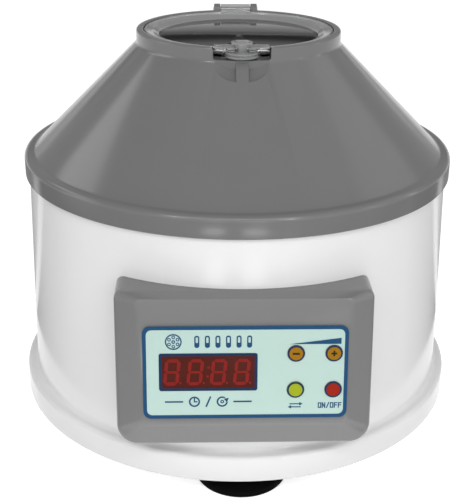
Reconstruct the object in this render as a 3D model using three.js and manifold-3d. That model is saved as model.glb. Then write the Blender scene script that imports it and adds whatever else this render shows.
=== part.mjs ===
// Bench-top laboratory centrifuge: a flared drum with a conical top cover, a clear hinged lid with a
// quarter-turn latch, a tilted control housing at the front, and inside it a six-place angle rotor in
// a bowl above a rubber-mounted motor. Units are millimetres, +Z is up and the front faces -Y.
import * as THREE from 'three';
import { mergeVertices } from 'three/addons/utils/BufferGeometryUtils.js';
import Module from 'manifold-3d';

const wasm = await Module();
wasm.setup();

// ---- Driving dimensions ----------------------------------------------------------------------
const roundSegments = 48;        // facets round the drum, cover and lid
const midSegments = 24;          // facets round motor parts and the rotor
const smallSegments = 16;        // facets round feet, knobs and sleeves
const tinySegments = 8;          // facets round screws and pins
const gap = 0.3;                 // clearance between pieces that are assembled but not touching

const footHeight = 12;           // suction foot, floor to skirt
const footRadius = 26;
const footCircle = 107;          // feet stand on this radius from the drum axis
const footSink = 1;              // the foot's neck reaches up into the skirt to meet the base plate

const drumRadius = 125.3;        // outside of the drum at its top edge
const drumDraft = 3.7;           // the drum is this much wider at the skirt
const skirtStep = 6;             // the skirt stands out this far from the drum
const skirtHeight = 15.5;
const bodyHeight = 149;          // skirt bottom to the top edge of the drum
const shellWall = 3;
const baseThickness = 2;
const bowlLedgeDrop = 3;         // the drum's inner ledge lies this far below its top edge
const bowlLedgeThickness = 3;
const bowlLedgeWidth = 10;

const coverWall = 4;
const rimOverhang = 2.7;         // the cover's rim stands out this far from the drum
const rimHeight = 11.2;
const rimWall = 2;
const rimShelf = 5.6;            // flat shelf between the rim's edge and the cone
const coneRise = 62.3;           // from the rim shelf to the foot of the neck
const neckRadius = 59.8;
const neckHeight = 7.7;
const seatWidth = 9.4;           // from the neck's outside to the opening of the chamber
const lidSeatDepth = 2.6;        // the lid's ledge lies this far below the neck's top

const lidFlange = 1.9;           // thickness of the lid's flange
const lidGap = 0.5;              // radial gap between the lid and the neck
const windowDrop = 3.1;          // the window lies this far below the flange
const windowThickness = 2.2;
const lidWall = 2.2;
const lidOpenClearance = 0.6;    // radial play of the lid's wall in the throat

const notchHalfWidth = 15.6;     // notch in the front of the neck for the lid's tongue
const tongueInset = 2.3;         // the tongue ends this far inside the neck's outer surface
const latchInset = 6.1;          // the latch's axis lies this far inside it
const latchDiscRadius = 9.2;
const latchDiscHeight = 3;
const latchStemRadius = 4;
const latchBossWall = 2.6;       // plastic left round the pocket that takes the disc
const latchGripHeight = 3.4;     // stands above the lid
const camLength = 8.6;
const camWidth = 3.6;
const camHeight = 2.8;
const camShaftRadius = 1.7;
const keeperThickness = 5.4;

const hingeOutset = 3;           // the hinge pin lies this far outside the neck's outer surface
const hingePinRadius = 1.6;
const hingeDrop = 0.5;           // the pin's axis lies this far below the neck's top
const earThickness = 4.1;
const earSpan = 19.2;            // clear width between the ears
const earRadius = 3.6;

const sleeveAngle = 35;          // degrees from upright
const sleeveCount = 6;
const sleeveLength = 100;
const sleeveRadius = 9;
const sleeveWall = 0.6;
const sleeveLip = 1.3;
const mouthCircle = 38;          // sleeve mouths stand on this radius
const mouthDrop = 26;            // sleeve mouths lie this far below the lid's window
const rotorTopRadius = 52;
const rotorDepth = 36;
const rotorWall = 5;
const rotorHubRadius = 13;
const shaftRadius = 5;
const bowlWall = 1.5;
const bowlClearance = 8;         // running clearance between the sleeves and the bowl

const motorRadius = 42;
const motorWall = 2.5;
const motorLength = 58;          // of the can between the two end bells
const bellThickness = 5;
const bearingRadius = 11;
const bearingHeight = 7;
const motorPlateRadius = 74;
const motorPlateThickness = 3;
const mountCircle = 60;
const mountRadius = 10;
const mountHeight = 22;

const housingWidth = 134.6;
const housingHeight = 84.7;
const housingTop = 113;          // above the skirt's bottom
const housingTilt = 8;           // degrees, top leans back
const housingStandoff = 14.49;   // from the drum to the face, at housingFaceHeight
const housingFaceHeight = 60;    // above the skirt's bottom
const housingBorder = 11.7;      // sloping border beside the flat face, at the face's top
const housingLowBorder = 14.3;   // the same at the face's bottom
const housingTopBorder = 1.6;    // above the flat face
const housingBottomBorder = 15.7;   // below it
const housingBorderDepth = 6.6;
const housingCorner = 11;        // at the bottom
const housingTopCorner = 5;
const housingWall = 2.6;

const keypadWidth = 105.8;
const keypadHeight = 50.5;
const keypadThickness = 0.6;
const keypadTopDrop = 15.8;      // below the housing's top edge, along the face
const keypadShift = 0.35;        // to the right of the middle
const displayWidth = 50.4;
const displayHeight = 20.2;
const displayLeft = 8.5;         // from the keypad's left edge
const displayDrop = 14.75;       // from the keypad's top edge
const keyRadius = 4.3;
const keyColumns = [78.9, 98.5]; // from the keypad's left edge
const keyRows = [14.95, 34.9];   // from the keypad's top edge
const keyTravel = 0.5;
const keyProud = 0.7;
const boardWidth = 100;
const boardHeight = 46;
const boardThickness = 1.6;
const boardDepth = 11;           // from the face to the board's front

const inletWidth = 50;
const inletHeight = 36;
const inletBodyWidth = 44;
const inletBodyHeight = 31;
const inletFlange = 2.4;
const inletDepth = 26;
const inletRise = 48;            // its middle, above the skirt's bottom
const socketWidth = 24.6;
const socketHeight = 16.6;
const socketDepth = 17;
const drawerWidth = 20;
const drawerHeight = 7.6;
const drawerDepth = 20;

// ---- Places worked out from them ---------------------------------------------------------------
const rad = THREE.MathUtils.degToRad;
const skirtZ = footHeight;
const shellTopZ = skirtZ + bodyHeight;
const drumRadiusAt = (z) => drumRadius + drumDraft * (shellTopZ - z) / bodyHeight;
const skirtRadius = drumRadius + drumDraft + skirtStep;
const stepZ = skirtZ + skirtHeight;
const basePlateZ = skirtZ + footSink;
const basePlateTopZ = basePlateZ + baseThickness;
const basePlateRadius = skirtRadius - shellWall - 0.8;
const ledgeTopZ = shellTopZ - bowlLedgeDrop;
const ledgeBottomZ = ledgeTopZ - bowlLedgeThickness;
const drumInnerRadius = drumRadius - shellWall;
const ledgeInnerRadius = drumInnerRadius - bowlLedgeWidth;

const rimRadius = drumRadius + rimOverhang;
const shelfZ = shellTopZ + 2.9;
const rimBottomZ = shelfZ - rimHeight;
const coneRadius = rimRadius - rimShelf;
const neckBaseZ = shelfZ + 1 + coneRise;
const neckTopZ = neckBaseZ + neckHeight;
const throatRadius = neckRadius - seatWidth;
const tongueReach = neckRadius - tongueInset;
const latchPlace = neckRadius - latchInset;
const hingePlace = neckRadius + hingeOutset;
const coneSlope = (coneRadius - neckRadius) / coneRise;          // radius lost per unit of height
const coneInset = coverWall * Math.hypot(1, coneSlope);          // wall measured level
const innerConeRadius = (z) => coneRadius + (shelfZ + 1 - z) * coneSlope - coneInset;
const seatZ = neckTopZ - lidSeatDepth;
const throatBottomZ = seatZ - 5.8;
const notchFloorZ = neckBaseZ + 1.1;
const keeperBottomZ = notchFloorZ - keeperThickness;

const lidBottomZ = seatZ + gap;
const lidTopZ = lidBottomZ + lidFlange;
const lidRadius = neckRadius - 4.1 - lidGap;
const windowTopZ = lidTopZ - windowDrop;
const windowBottomZ = windowTopZ - windowThickness;
const hingeZ = neckTopZ - hingeDrop;

const latchDiscTopZ = lidBottomZ - gap;
const latchDiscBottomZ = latchDiscTopZ - latchDiscHeight;
const camTopZ = keeperBottomZ - 0.6;
const camBottomZ = camTopZ - camHeight;

const tilt = rad(sleeveAngle);
const mouthZ = windowBottomZ - mouthDrop;
const rotorTopZ = mouthZ + 3;
const rotorBottomZ = rotorTopZ - rotorDepth;
const sleeveReach = mouthCircle + (sleeveLength - sleeveRadius) * Math.sin(tilt) + sleeveRadius;
const sleeveLowZ = mouthZ - (sleeveLength - sleeveRadius) * Math.cos(tilt) - sleeveRadius;
const bowlRadius = sleeveReach + bowlClearance;
const bowlFloorZ = sleeveLowZ - bowlClearance;

const motorPlateZ = basePlateTopZ + mountHeight;
const motorPlateTopZ = motorPlateZ + motorPlateThickness;
const canZ = motorPlateTopZ + bellThickness;
const canTopZ = canZ + motorLength;
const motorTopZ = canTopZ + bellThickness;
const collarRadius = shaftRadius + 2;
const shaftBottomZ = basePlateTopZ + 6;
const rotorSeatZ = rotorBottomZ + 4;
const nutBottomZ = rotorTopZ + gap;

// ---- Materials ---------------------------------------------------------------------------------
function finish(color, roughness, metalness = 0, opacity = 1) {
  return new THREE.MeshStandardMaterial({
    color, roughness, metalness, opacity, transparent: opacity < 1,
  });
}
const whitePlastic = finish(0xe9e9ea, 0.25);
const greyPlastic = finish(0x767676, 0.25);
const clearPlastic = finish(0x9a9a9a, 0.08, 0, 0.4);
const smokePlastic = finish(0x6a6a6a, 0.06, 0, 0.45);
const blackRubber = finish(0x121212, 0.75);
const blackPlastic = finish(0x1c1c1c, 0.45);
const steel = finish(0xb4b6b8, 0.35, 1);
const darkSteel = finish(0x55585b, 0.5, 1);
const aluminium = finish(0xc9cbcd, 0.4, 1);
const boardGreen = finish(0x1f5a35, 0.5);
const keypadMint = finish(0xc5dfd6, 0.4);
const displayRed = finish(0x54281a, 0.15);
const moduleGrey = finish(0x3a3d3f, 0.5);
const keyAmber = finish(0xa97b20, 0.4);
const keyGreen = finish(0xaab62c, 0.4);
const keyRed = finish(0xa22a17, 0.4);
const capacitorBlue = finish(0x2c3f63, 0.4);

// ---- Geometry helpers --------------------------------------------------------------------------
// Keeps only the positions of a geometry, merges the points that coincide and drops flat triangles.
function welded(geometry) {
  const bare = geometry.index ? geometry.toNonIndexed() : geometry.clone();
  bare.deleteAttribute('normal');
  bare.deleteAttribute('uv');
  const merged = mergeVertices(bare, 1e-4);
  const index = merged.index.array;
  const kept = [];
  for (let i = 0; i < index.length; i += 3) {
    const [a, b, c] = [index[i], index[i + 1], index[i + 2]];
    if (a !== b && b !== c && c !== a) kept.push(a, b, c);
  }
  merged.setIndex(kept);
  return merged;
}

// A welded geometry as a manifold solid with its faces outward.
function solid(geometry) {
  const places = geometry.attributes.position.array;
  const index = Uint32Array.from(geometry.index.array);
  const corner = (n) => new THREE.Vector3().fromArray(places, 3 * n);
  let volume = 0;
  for (let i = 0; i < index.length; i += 3) {
    volume += corner(index[i]).dot(corner(index[i + 1]).cross(corner(index[i + 2])));
  }
  if (volume < 0) index.reverse();
  return new wasm.Manifold(new wasm.Mesh({
    numProp: 3, vertProperties: new Float32Array(places), triVerts: index,
  }));
}

// A manifold solid as a geometry.
function shapeOf(body) {
  const mesh = body.getMesh();
  const geometry = new THREE.BufferGeometry();
  geometry.setAttribute('position', new THREE.BufferAttribute(mesh.vertProperties, 3));
  geometry.setIndex(new THREE.BufferAttribute(mesh.triVerts, 1));
  return geometry;
}

// Turns a profile of [radius, height] pairs round the Z axis.
function turned(profile, segments, closed = true) {
  const points = profile.map(([radius, height]) => new THREE.Vector2(radius, height));
  if (closed) points.push(points[0].clone());
  return welded(new THREE.LatheGeometry(points, segments, Math.PI / 2)).rotateX(Math.PI / 2);
}

// A straight round bar along Z from one height to another.
function bar(radius, fromZ, toZ, segments, x = 0, y = 0) {
  return welded(new THREE.CylinderGeometry(radius, radius, toZ - fromZ, segments))
    .rotateX(Math.PI / 2)
    .translate(x, y, (fromZ + toZ) / 2);
}

// A round bar along X between two places.
function crossBar(radius, fromX, toX, y, z, segments) {
  return welded(new THREE.CylinderGeometry(radius, radius, toX - fromX, segments))
    .rotateZ(Math.PI / 2)
    .translate((fromX + toX) / 2, y, z);
}

// A round bar along Y between two places.
function barAlongY(radius, fromY, toY, x, z) {
  return welded(new THREE.CylinderGeometry(radius, radius, toY - fromY, tinySegments))
    .translate(x, (fromY + toY) / 2, z);
}

// A block given by its lowest and highest corners.
function block(low, high) {
  const size = high.map((value, i) => value - low[i]);
  const middle = high.map((value, i) => (value + low[i]) / 2);
  return welded(new THREE.BoxGeometry(...size)).translate(...middle);
}

// The outline of a rectangle with rounded corners, centred on the origin.
function roundedOutline(width, height, radius, topRadius = radius) {
  const [x, y] = [width / 2, height / 2];
  const outline = new THREE.Shape();
  outline.moveTo(x, -y + radius);
  outline.lineTo(x, y - topRadius);
  outline.absarc(x - topRadius, y - topRadius, topRadius, 0, Math.PI / 2);
  outline.lineTo(-x + topRadius, y);
  outline.absarc(-x + topRadius, y - topRadius, topRadius, Math.PI / 2, Math.PI);
  outline.lineTo(-x, -y + radius);
  outline.absarc(-x + radius, -y + radius, radius, Math.PI, 1.5 * Math.PI);
  outline.lineTo(x - radius, -y);
  outline.absarc(x - radius, -y + radius, radius, 1.5 * Math.PI, 2 * Math.PI);
  return outline;
}

// A flat outline carried up along Z.
function extruded(outline, depth, curveSegments) {
  return welded(new THREE.ExtrudeGeometry(outline, { depth, bevelEnabled: false, curveSegments }));
}

// A flat plate with rounded corners, from one height to another along Z.
function plate(width, height, radius, fromZ, toZ, cornerSteps = 4) {
  return extruded(roundedOutline(width, height, radius), toZ - fromZ, cornerSteps).translate(0, 0, fromZ);
}

// Skins a stack of rings that have equally many points, each ring a list of Vector3, and closes
// both ends with flat fans.
function skinned(rings) {
  const count = rings[0].length;
  const places = rings.flat().flatMap((point) => point.toArray());
  const index = [];
  for (let r = 0; r + 1 < rings.length; r += 1) {
    for (let i = 0; i < count; i += 1) {
      const [a, b] = [r * count + i, r * count + (i + 1) % count];
      index.push(a, b, b + count, a, b + count, a + count);
    }
  }
  const last = (rings.length - 1) * count;
  for (let i = 1; i + 1 < count; i += 1) {
    index.push(0, i + 1, i, last, last + i, last + i + 1);
  }
  const geometry = new THREE.BufferGeometry();
  geometry.setAttribute('position', new THREE.Float32BufferAttribute(places, 3));
  geometry.setIndex(index);
  return geometry;
}

const machine = new THREE.Group();

// Adds a named piece made of a geometry or of a manifold solid.
function piece(name, shape, material, parent = machine) {
  const geometry = shapeOf(shape.isBufferGeometry ? solid(shape) : shape);
  geometry.computeVertexNormals();
  const mesh = new THREE.Mesh(geometry, material);
  mesh.name = name;
  parent.add(mesh);
  return mesh;
}

// A place on a circle round the drum axis; 0 degrees is +X and 270 degrees is the front.
const onCircle = (radius, degrees) => [radius * Math.cos(rad(degrees)), radius * Math.sin(rad(degrees))];

// The drum filled in and grown by a clearance, for cutting the pieces that fit round it.
function drumBody(clearance) {
  return solid(turned([
    [0, skirtZ], [drumRadiusAt(skirtZ) + clearance, skirtZ],
    [drumRadius + clearance, shellTopZ], [0, shellTopZ],
  ], roundSegments, false));
}

// ---- Body shell, base and feet -------------------------------------------------------------------
const footPlaces = { front: 270, right: 30, left: 150 };
const footBoltRadius = 2.5;
const bossRadius = 7;
const bossHeight = 22;

// Openings of the drum wall, which the housing and the inlet share.
const wireWindow = { halfWidth: 40, bottom: skirtZ + 50, top: skirtZ + 98 };
const inletZ = skirtZ + inletRise;
const inletSeatY = drumRadiusAt(inletZ) + 1.2;
const housingScrewPlaces = [-57, 57];
const housingScrewZ = skirtZ + 74;
const housingScrewRadius = 2;
const housingScrewBoss = 5;
const housingScrewSeatY = -Math.sqrt((drumRadiusAt(housingScrewZ) - shellWall) ** 2
  - (Math.abs(housingScrewPlaces[0]) + housingScrewBoss) ** 2) + 1;

function mainShell() {
  const atStep = drumRadiusAt(stepZ);
  const bottomInner = basePlateRadius + gap;
  let body = solid(turned([
    [bottomInner, skirtZ], [skirtRadius - 0.8, skirtZ], [skirtRadius, skirtZ + 0.8],
    [skirtRadius - 0.2, stepZ - 1.5], [skirtRadius - 1.7, stepZ], [atStep + 1.5, stepZ + 0.2],
    [atStep, stepZ + 1.9],
    [drumRadius, shellTopZ], [drumInnerRadius, shellTopZ], [drumInnerRadius, ledgeTopZ],
    [ledgeInnerRadius, ledgeTopZ], [ledgeInnerRadius, ledgeBottomZ], [drumInnerRadius, ledgeBottomZ],
    [atStep - shellWall, stepZ + 2], [skirtRadius - shellWall - 2.4, stepZ - 4],
    [skirtRadius - shellWall - 2.4, basePlateTopZ], [bottomInner, basePlateTopZ],
  ], roundSegments));
  for (const degrees of Object.values(footPlaces)) {
    const [x, y] = onCircle(footCircle, degrees);
    const web = block([footCircle, -2.5, basePlateTopZ], [atStep - 1, 2.5, basePlateTopZ + bossHeight])
      .rotateZ(rad(degrees));
    const hole = bar(footBoltRadius + gap, 0, basePlateTopZ + bossHeight - 4, tinySegments, x, y);
    body = body
      .add(solid(bar(bossRadius, basePlateTopZ, basePlateTopZ + bossHeight, smallSegments, x, y)))
      .add(solid(web))
      .subtract(solid(hole));
  }
  const padLow = [-inletWidth / 2 - 5, inletSeatY - 8, inletZ - inletHeight / 2 - 4];
  const padHigh = [inletWidth / 2 + 5, inletSeatY, inletZ + inletHeight / 2 + 4];
  const inletHole = block(
    [-inletBodyWidth / 2 - gap, inletSeatY - 20, inletZ - inletBodyHeight / 2 - gap],
    [inletBodyWidth / 2 + gap, inletSeatY + 5, inletZ + inletBodyHeight / 2 + gap],
  );
  const wires = block([-wireWindow.halfWidth, -skirtRadius, wireWindow.bottom],
    [wireWindow.halfWidth, -drumInnerRadius + 25, wireWindow.top]);
  body = body.add(solid(block(padLow, padHigh))).subtract(solid(inletHole)).subtract(solid(wires));
  for (const x of housingScrewPlaces) {
    const seat = solid(barAlongY(housingScrewBoss, -skirtRadius, housingScrewSeatY, x, housingScrewZ));
    const hole = barAlongY(housingScrewRadius + gap, -skirtRadius, housingScrewSeatY + 5, x, housingScrewZ);
    body = body.add(seat.intersect(drumBody(0))).subtract(solid(hole));
  }
  for (const degrees of coverScrewPlaces) {
    const [x, y] = onCircle(coverScrewCircle, degrees);
    const hole = bar(coverScrewRadius + gap, ledgeBottomZ - 5, ledgeTopZ + 5, tinySegments, x, y);
    body = body.subtract(solid(hole));
  }
  piece('main_shell', body, whitePlastic);
}

const ventCount = 10;
const boardPosts = { x: 36, near: 66, far: 104, radius: 3, height: 4 };
const capacitorPlace = { x: -97, y: -8, radius: 17, height: 52 };

function basePlate() {
  let body = solid(bar(basePlateRadius, basePlateZ, basePlateTopZ, roundSegments));
  for (const degrees of Object.values(footPlaces)) {
    const [x, y] = onCircle(footCircle, degrees);
    body = body.subtract(solid(bar(footBoltRadius + gap, 0, 30, tinySegments, x, y)));
  }
  for (let i = 0; i < ventCount; i += 1) {
    const slot = block([16, -2.5, 0], [42, 2.5, 30]).rotateZ(2 * Math.PI * i / ventCount);
    body = body.subtract(solid(slot));
  }
  for (const degrees of mountPlaces) {
    const [x, y] = onCircle(mountCircle, degrees);
    body = body.subtract(solid(bar(mountStudRadius + gap, 0, 30, tinySegments, x, y)));
  }
  for (const x of [-boardPosts.x, boardPosts.x]) {
    for (const y of [boardPosts.near, boardPosts.far]) {
      body = body.add(solid(bar(boardPosts.radius, basePlateTopZ - 1, basePlateTopZ + boardPosts.height,
        tinySegments, x, y)));
    }
  }
  piece('base_plate', body, steel);
}

function feet() {
  const recessZ = 6.5;
  for (const [side, degrees] of Object.entries(footPlaces)) {
    const [x, y] = onCircle(footCircle, degrees);
    const cup = turned([
      [footRadius - 6, 0], [footRadius - 0.8, 0], [footRadius, 1], [footRadius - 1, 3.4],
      [footRadius - 7, 7.4], [11, 9.4], [11, basePlateZ],
      [footBoltRadius + gap, basePlateZ], [footBoltRadius + gap, recessZ], [7, recessZ], [7, 4],
    ], smallSegments + 4).translate(x, y, 0);
    piece(`foot_${side}`, cup, blackRubber);
    const bolt = turned([
      [0, recessZ - 3.2], [5, recessZ - 3.2], [6, recessZ - 2.2], [6, recessZ - 0.2],
      [footBoltRadius, recessZ - 0.2], [footBoltRadius, basePlateTopZ + bossHeight - 6],
      [0, basePlateTopZ + bossHeight - 6],
    ], tinySegments, false).translate(x, y, 0);
    piece(`foot_bolt_${side}`, bolt, steel);
  }
}

// ---- Top cover, gasket and lid -----------------------------------------------------------------
const coverScrewPlaces = [90, 210, 330];
const coverScrewCircle = drumInnerRadius - 6.3;
const coverScrewRadius = 2;
const gasketThickness = shellTopZ - ledgeTopZ - bowlWall - gap;
const coverScrewTopZ = shellTopZ + 4.5;
const coverBossRadius = 4;
const keeperHalfWidth = 11;
const keeperReach = 7.4;         // the keeper ends this far behind the latch's axis
const camPlay = { x: 0.9, y: 1.1 };
const scoop = { halfWidth: 16, reach: 12.3, depth: 2.7, ribHalfWidth: 3.45 };
const below = 40;                // how far cutting tools run past what they cut

function scoopTool() {
  // A shallow oval dish lying on the cone in front of the neck, with a rib left standing in it.
  const lean = Math.atan2(coneRise, coneRadius - neckRadius);
  const dish = welded(new THREE.SphereGeometry(1, 20, 10))
    .scale(scoop.halfWidth, scoop.reach, scoop.depth)
    .rotateX(lean)
    .translate(0, -neckRadius, neckBaseZ);
  const rib = block([-scoop.ribHalfWidth, -coneRadius, neckBaseZ - below],
    [scoop.ribHalfWidth, 0, neckTopZ + below]);
  return solid(dish)
    .subtract(solid(bar(neckRadius, neckBaseZ - below, neckTopZ + below, roundSegments)))
    .subtract(solid(rib));
}

function topCover() {
  const neckInner = lidRadius + lidGap;
  let body = solid(turned([
    [rimRadius - rimWall, rimBottomZ], [rimRadius, rimBottomZ], [rimRadius, shelfZ - 1.4],
    [rimRadius - 1.4, shelfZ], [coneRadius + 1, shelfZ], [coneRadius, shelfZ + 1],
    [neckRadius, neckBaseZ + 0.4], [neckRadius, neckTopZ - 0.6], [neckRadius - 0.6, neckTopZ],
    [neckInner, neckTopZ], [neckInner, seatZ], [throatRadius, seatZ], [throatRadius, throatBottomZ],
    [innerConeRadius(throatBottomZ), throatBottomZ], [innerConeRadius(shellTopZ + 3), shellTopZ + 3],
    [innerConeRadius(shellTopZ + 3), shellTopZ], [rimRadius - rimWall, shellTopZ],
  ], roundSegments));
  // The keeper is a thick tab under the notch, with the slot that the latch's cam goes through.
  const keeper = block([-keeperHalfWidth, -neckRadius + 1, keeperBottomZ],
    [keeperHalfWidth, -latchPlace + keeperReach, notchFloorZ]);
  body = body.add(solid(keeper));
  for (const degrees of coverScrewPlaces) {
    const [x, y] = onCircle(coverScrewCircle, degrees);
    body = body.add(solid(bar(coverBossRadius, shellTopZ, coverScrewTopZ + 1, tinySegments, x, y)));
  }
  // The two ears of the hinge rise from the cone behind the neck.
  const ear = new THREE.Shape();
  ear.moveTo(hingePlace - 6, neckBaseZ - 4);
  ear.lineTo(hingePlace + earRadius, neckBaseZ - 9);
  ear.lineTo(hingePlace + earRadius, hingeZ);
  ear.absarc(hingePlace, hingeZ, earRadius, 0, Math.PI);
  ear.lineTo(hingePlace - 6, hingeZ);
  for (const side of [-1, 1]) {
    const slab = extruded(ear, earThickness, 8)
      .rotateX(Math.PI / 2).rotateZ(Math.PI / 2)
      .translate(side < 0 ? -earSpan / 2 - earThickness : earSpan / 2, 0, 0);
    body = body.add(solid(slab));
  }
  const frontNotch = block([-notchHalfWidth, -neckRadius - 10, notchFloorZ],
    [notchHalfWidth, -throatRadius + 4, neckTopZ + 10]);
  const backNotch = block([-earSpan / 2, throatRadius - 4, neckBaseZ + 3.6],
    [earSpan / 2, hingePlace + 10, neckTopZ + 10]);
  const slotX = camLength / 2 + camPlay.x;
  const slotY = camWidth / 2 + camPlay.y;
  const slot = block([-slotX, -latchPlace - slotY, keeperBottomZ - 5],
    [slotX, -latchPlace + slotY, notchFloorZ + 5]);
  const pinHole = crossBar(hingePinRadius + gap, -below, below, hingePlace, hingeZ, tinySegments);
  body = body.subtract(solid(frontNotch)).subtract(solid(backNotch)).subtract(solid(slot))
    .subtract(solid(pinHole)).subtract(scoopTool());
  for (const degrees of coverScrewPlaces) {
    const [x, y] = onCircle(coverScrewCircle, degrees);
    const hole = bar(coverScrewRadius + gap, rimBottomZ, coverScrewTopZ + gap, tinySegments, x, y);
    body = body.subtract(solid(hole));
  }
  piece('top_cover', body, greyPlastic);
}

function coverFixings() {
  const [low, high] = [ledgeTopZ + bowlWall, ledgeTopZ + bowlWall + gasketThickness];
  let ring = solid(turned([
    [ledgeInnerRadius + 1, low], [drumInnerRadius - 1, low],
    [drumInnerRadius - 1, high], [ledgeInnerRadius + 1, high],
  ], roundSegments));
  for (const [i, degrees] of coverScrewPlaces.entries()) {
    const [x, y] = onCircle(coverScrewCircle, degrees);
    ring = ring.subtract(solid(bar(coverScrewRadius + gap, low - 5, high + 5, tinySegments, x, y)));
    const screw = turned([
      [0, ledgeBottomZ - 2.6], [3, ledgeBottomZ - 2.6], [4, ledgeBottomZ - 1.4], [4, ledgeBottomZ],
      [coverScrewRadius, ledgeBottomZ], [coverScrewRadius, coverScrewTopZ - 1], [0, coverScrewTopZ - 1],
    ], tinySegments, false).translate(x, y, 0);
    piece(`cover_screw_${i + 1}`, screw, steel);
  }
  piece('chamber_gasket', ring, blackRubber);
}

function lidAssembly() {
  const wallRadius = throatRadius - lidOpenClearance;
  const wallInner = wallRadius - lidWall;
  let body = solid(turned([
    [0, windowBottomZ], [wallRadius, windowBottomZ], [wallRadius, lidBottomZ], [lidRadius, lidBottomZ],
    [lidRadius, lidTopZ - 0.5], [lidRadius - 0.5, lidTopZ], [wallInner, lidTopZ],
    [wallInner - 0.6, windowTopZ + 0.6], [wallInner - 1.4, windowTopZ], [0, windowTopZ],
  ], roundSegments, false));
  // The tongue carries the latch; a round pocket under it takes the latch's disc.
  const tongueHalf = notchHalfWidth - 0.7;
  const tongue = solid(bar(tongueReach, lidBottomZ, lidTopZ, roundSegments)).intersect(
    solid(block([-tongueHalf, -neckRadius, lidBottomZ], [tongueHalf, -wallRadius + 3, lidTopZ])),
  );
  const bossRadius = latchDiscRadius + latchBossWall;
  const boss = solid(bar(bossRadius, windowBottomZ, lidTopZ, midSegments, 0, -latchPlace))
    .intersect(solid(bar(wallRadius, windowBottomZ, lidTopZ, roundSegments)));
  const pocket = bar(latchDiscRadius + 2 * gap, windowBottomZ - 5, lidBottomZ, midSegments, 0, -latchPlace);
  const stemHole = bar(latchStemRadius + gap, windowBottomZ, lidTopZ + 5, smallSegments, 0, -latchPlace);
  // The arm runs back over the neck to the knuckle between the ears.
  const knuckleHalf = earSpan / 2 - gap;
  const arm = block([-knuckleHalf, wallRadius + 1, lidBottomZ], [knuckleHalf, hingePlace, lidTopZ]);
  const knuckle = crossBar(earRadius - gap, -knuckleHalf, knuckleHalf, hingePlace, hingeZ, smallSegments);
  const pinHole = crossBar(hingePinRadius + gap, -below, below, hingePlace, hingeZ, tinySegments);
  body = body.add(tongue).add(boss).add(solid(arm)).add(solid(knuckle))
    .subtract(solid(pocket)).subtract(solid(stemHole)).subtract(solid(pinHole));
  piece('lid', body, smokePlastic);
  const pinHalf = earSpan / 2 + earThickness + 0.5;
  piece('hinge_pin', crossBar(hingePinRadius, -pinHalf, pinHalf, hingePlace, hingeZ, tinySegments), steel);
}

function latch() {
  const gripBottomZ = lidTopZ + gap;
  const gripTopZ = lidTopZ + latchGripHeight;
  let knob = solid(bar(latchStemRadius, latchDiscBottomZ, gripTopZ - 1, smallSegments));
  knob = knob
    .add(solid(plate(8.1, 5.6, 1.2, gripBottomZ, gripTopZ - 1.2, 2)))
    .add(solid(plate(11.4, 6.4, 1.6, gripTopZ - 1.9, gripTopZ - 0.6, 2)))
    .add(solid(plate(7.4, 4.4, 1.2, gripTopZ - 1, gripTopZ, 2)))
    .subtract(solid(bar(camShaftRadius + gap, latchDiscBottomZ - 1, latchDiscBottomZ + 3, tinySegments)));
  piece('latch_knob', shapeOf(knob).translate(0, -latchPlace, 0), clearPlastic);
  const [low, high] = [latchDiscBottomZ, latchDiscTopZ];
  const middle = (low + high) / 2;
  const disc = turned([
    [latchStemRadius + gap, low], [latchDiscRadius, low], [latchDiscRadius, middle - 0.3],
    [latchDiscRadius - 0.8, middle], [latchDiscRadius, middle + 0.3], [latchDiscRadius, high],
    [latchStemRadius + gap, high],
  ], midSegments).translate(0, -latchPlace, 0);
  piece('latch_disc', disc, clearPlastic);
  const cam = solid(plate(camLength, camWidth, 1, camBottomZ, camTopZ, 2))
    .add(solid(bar(camShaftRadius, camBottomZ + 1, latchDiscBottomZ + 2.7, tinySegments)));
  piece('latch_cam', shapeOf(cam).translate(0, -latchPlace, 0), steel);
}

// ---- Chamber and rotor -------------------------------------------------------------------------
const boreRadius = sleeveRadius + gap;
const bowlHole = 16;
const lipThickness = 1.6;

function chamberBowl() {
  const t = bowlWall;
  let bowl = solid(turned([
    [bowlHole, bowlFloorZ - t], [bowlRadius - 8, bowlFloorZ - t], [bowlRadius + t, bowlFloorZ + 8],
    [bowlRadius + t, ledgeTopZ], [drumInnerRadius - 1, ledgeTopZ], [drumInnerRadius - 1, ledgeTopZ + t],
    [bowlRadius, ledgeTopZ + t], [bowlRadius, bowlFloorZ + 8.6], [bowlRadius - 8.6, bowlFloorZ],
    [bowlHole, bowlFloorZ],
  ], roundSegments));
  for (const degrees of coverScrewPlaces) {
    const [x, y] = onCircle(coverScrewCircle, degrees);
    bowl = bowl.subtract(solid(bar(coverScrewRadius + gap, ledgeTopZ - 5, shellTopZ, tinySegments, x, y)));
  }
  piece('chamber_bowl', bowl, aluminium);
  const boot = turned([
    [collarRadius + 0.6, bowlFloorZ - 1], [bowlHole - gap, bowlFloorZ - 1],
    [bowlHole - gap, bowlFloorZ + gap], [bowlHole + 4, bowlFloorZ + gap],
    [bowlHole + 3, bowlFloorZ + 2.4], [bowlHole - 3, bowlFloorZ + 3],
    [collarRadius + 2.2, bowlFloorZ + 8], [collarRadius + 0.6, bowlFloorZ + 8],
  ], midSegments);
  piece('shaft_boot', boot, blackRubber);
}

// Puts a geometry made along the sleeve's own axis (mouth at the origin, bottom along -Z) in place.
function atSleeve(geometry, degrees) {
  return geometry.rotateY(-tilt).translate(mouthCircle, 0, mouthZ).rotateZ(rad(degrees));
}

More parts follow.
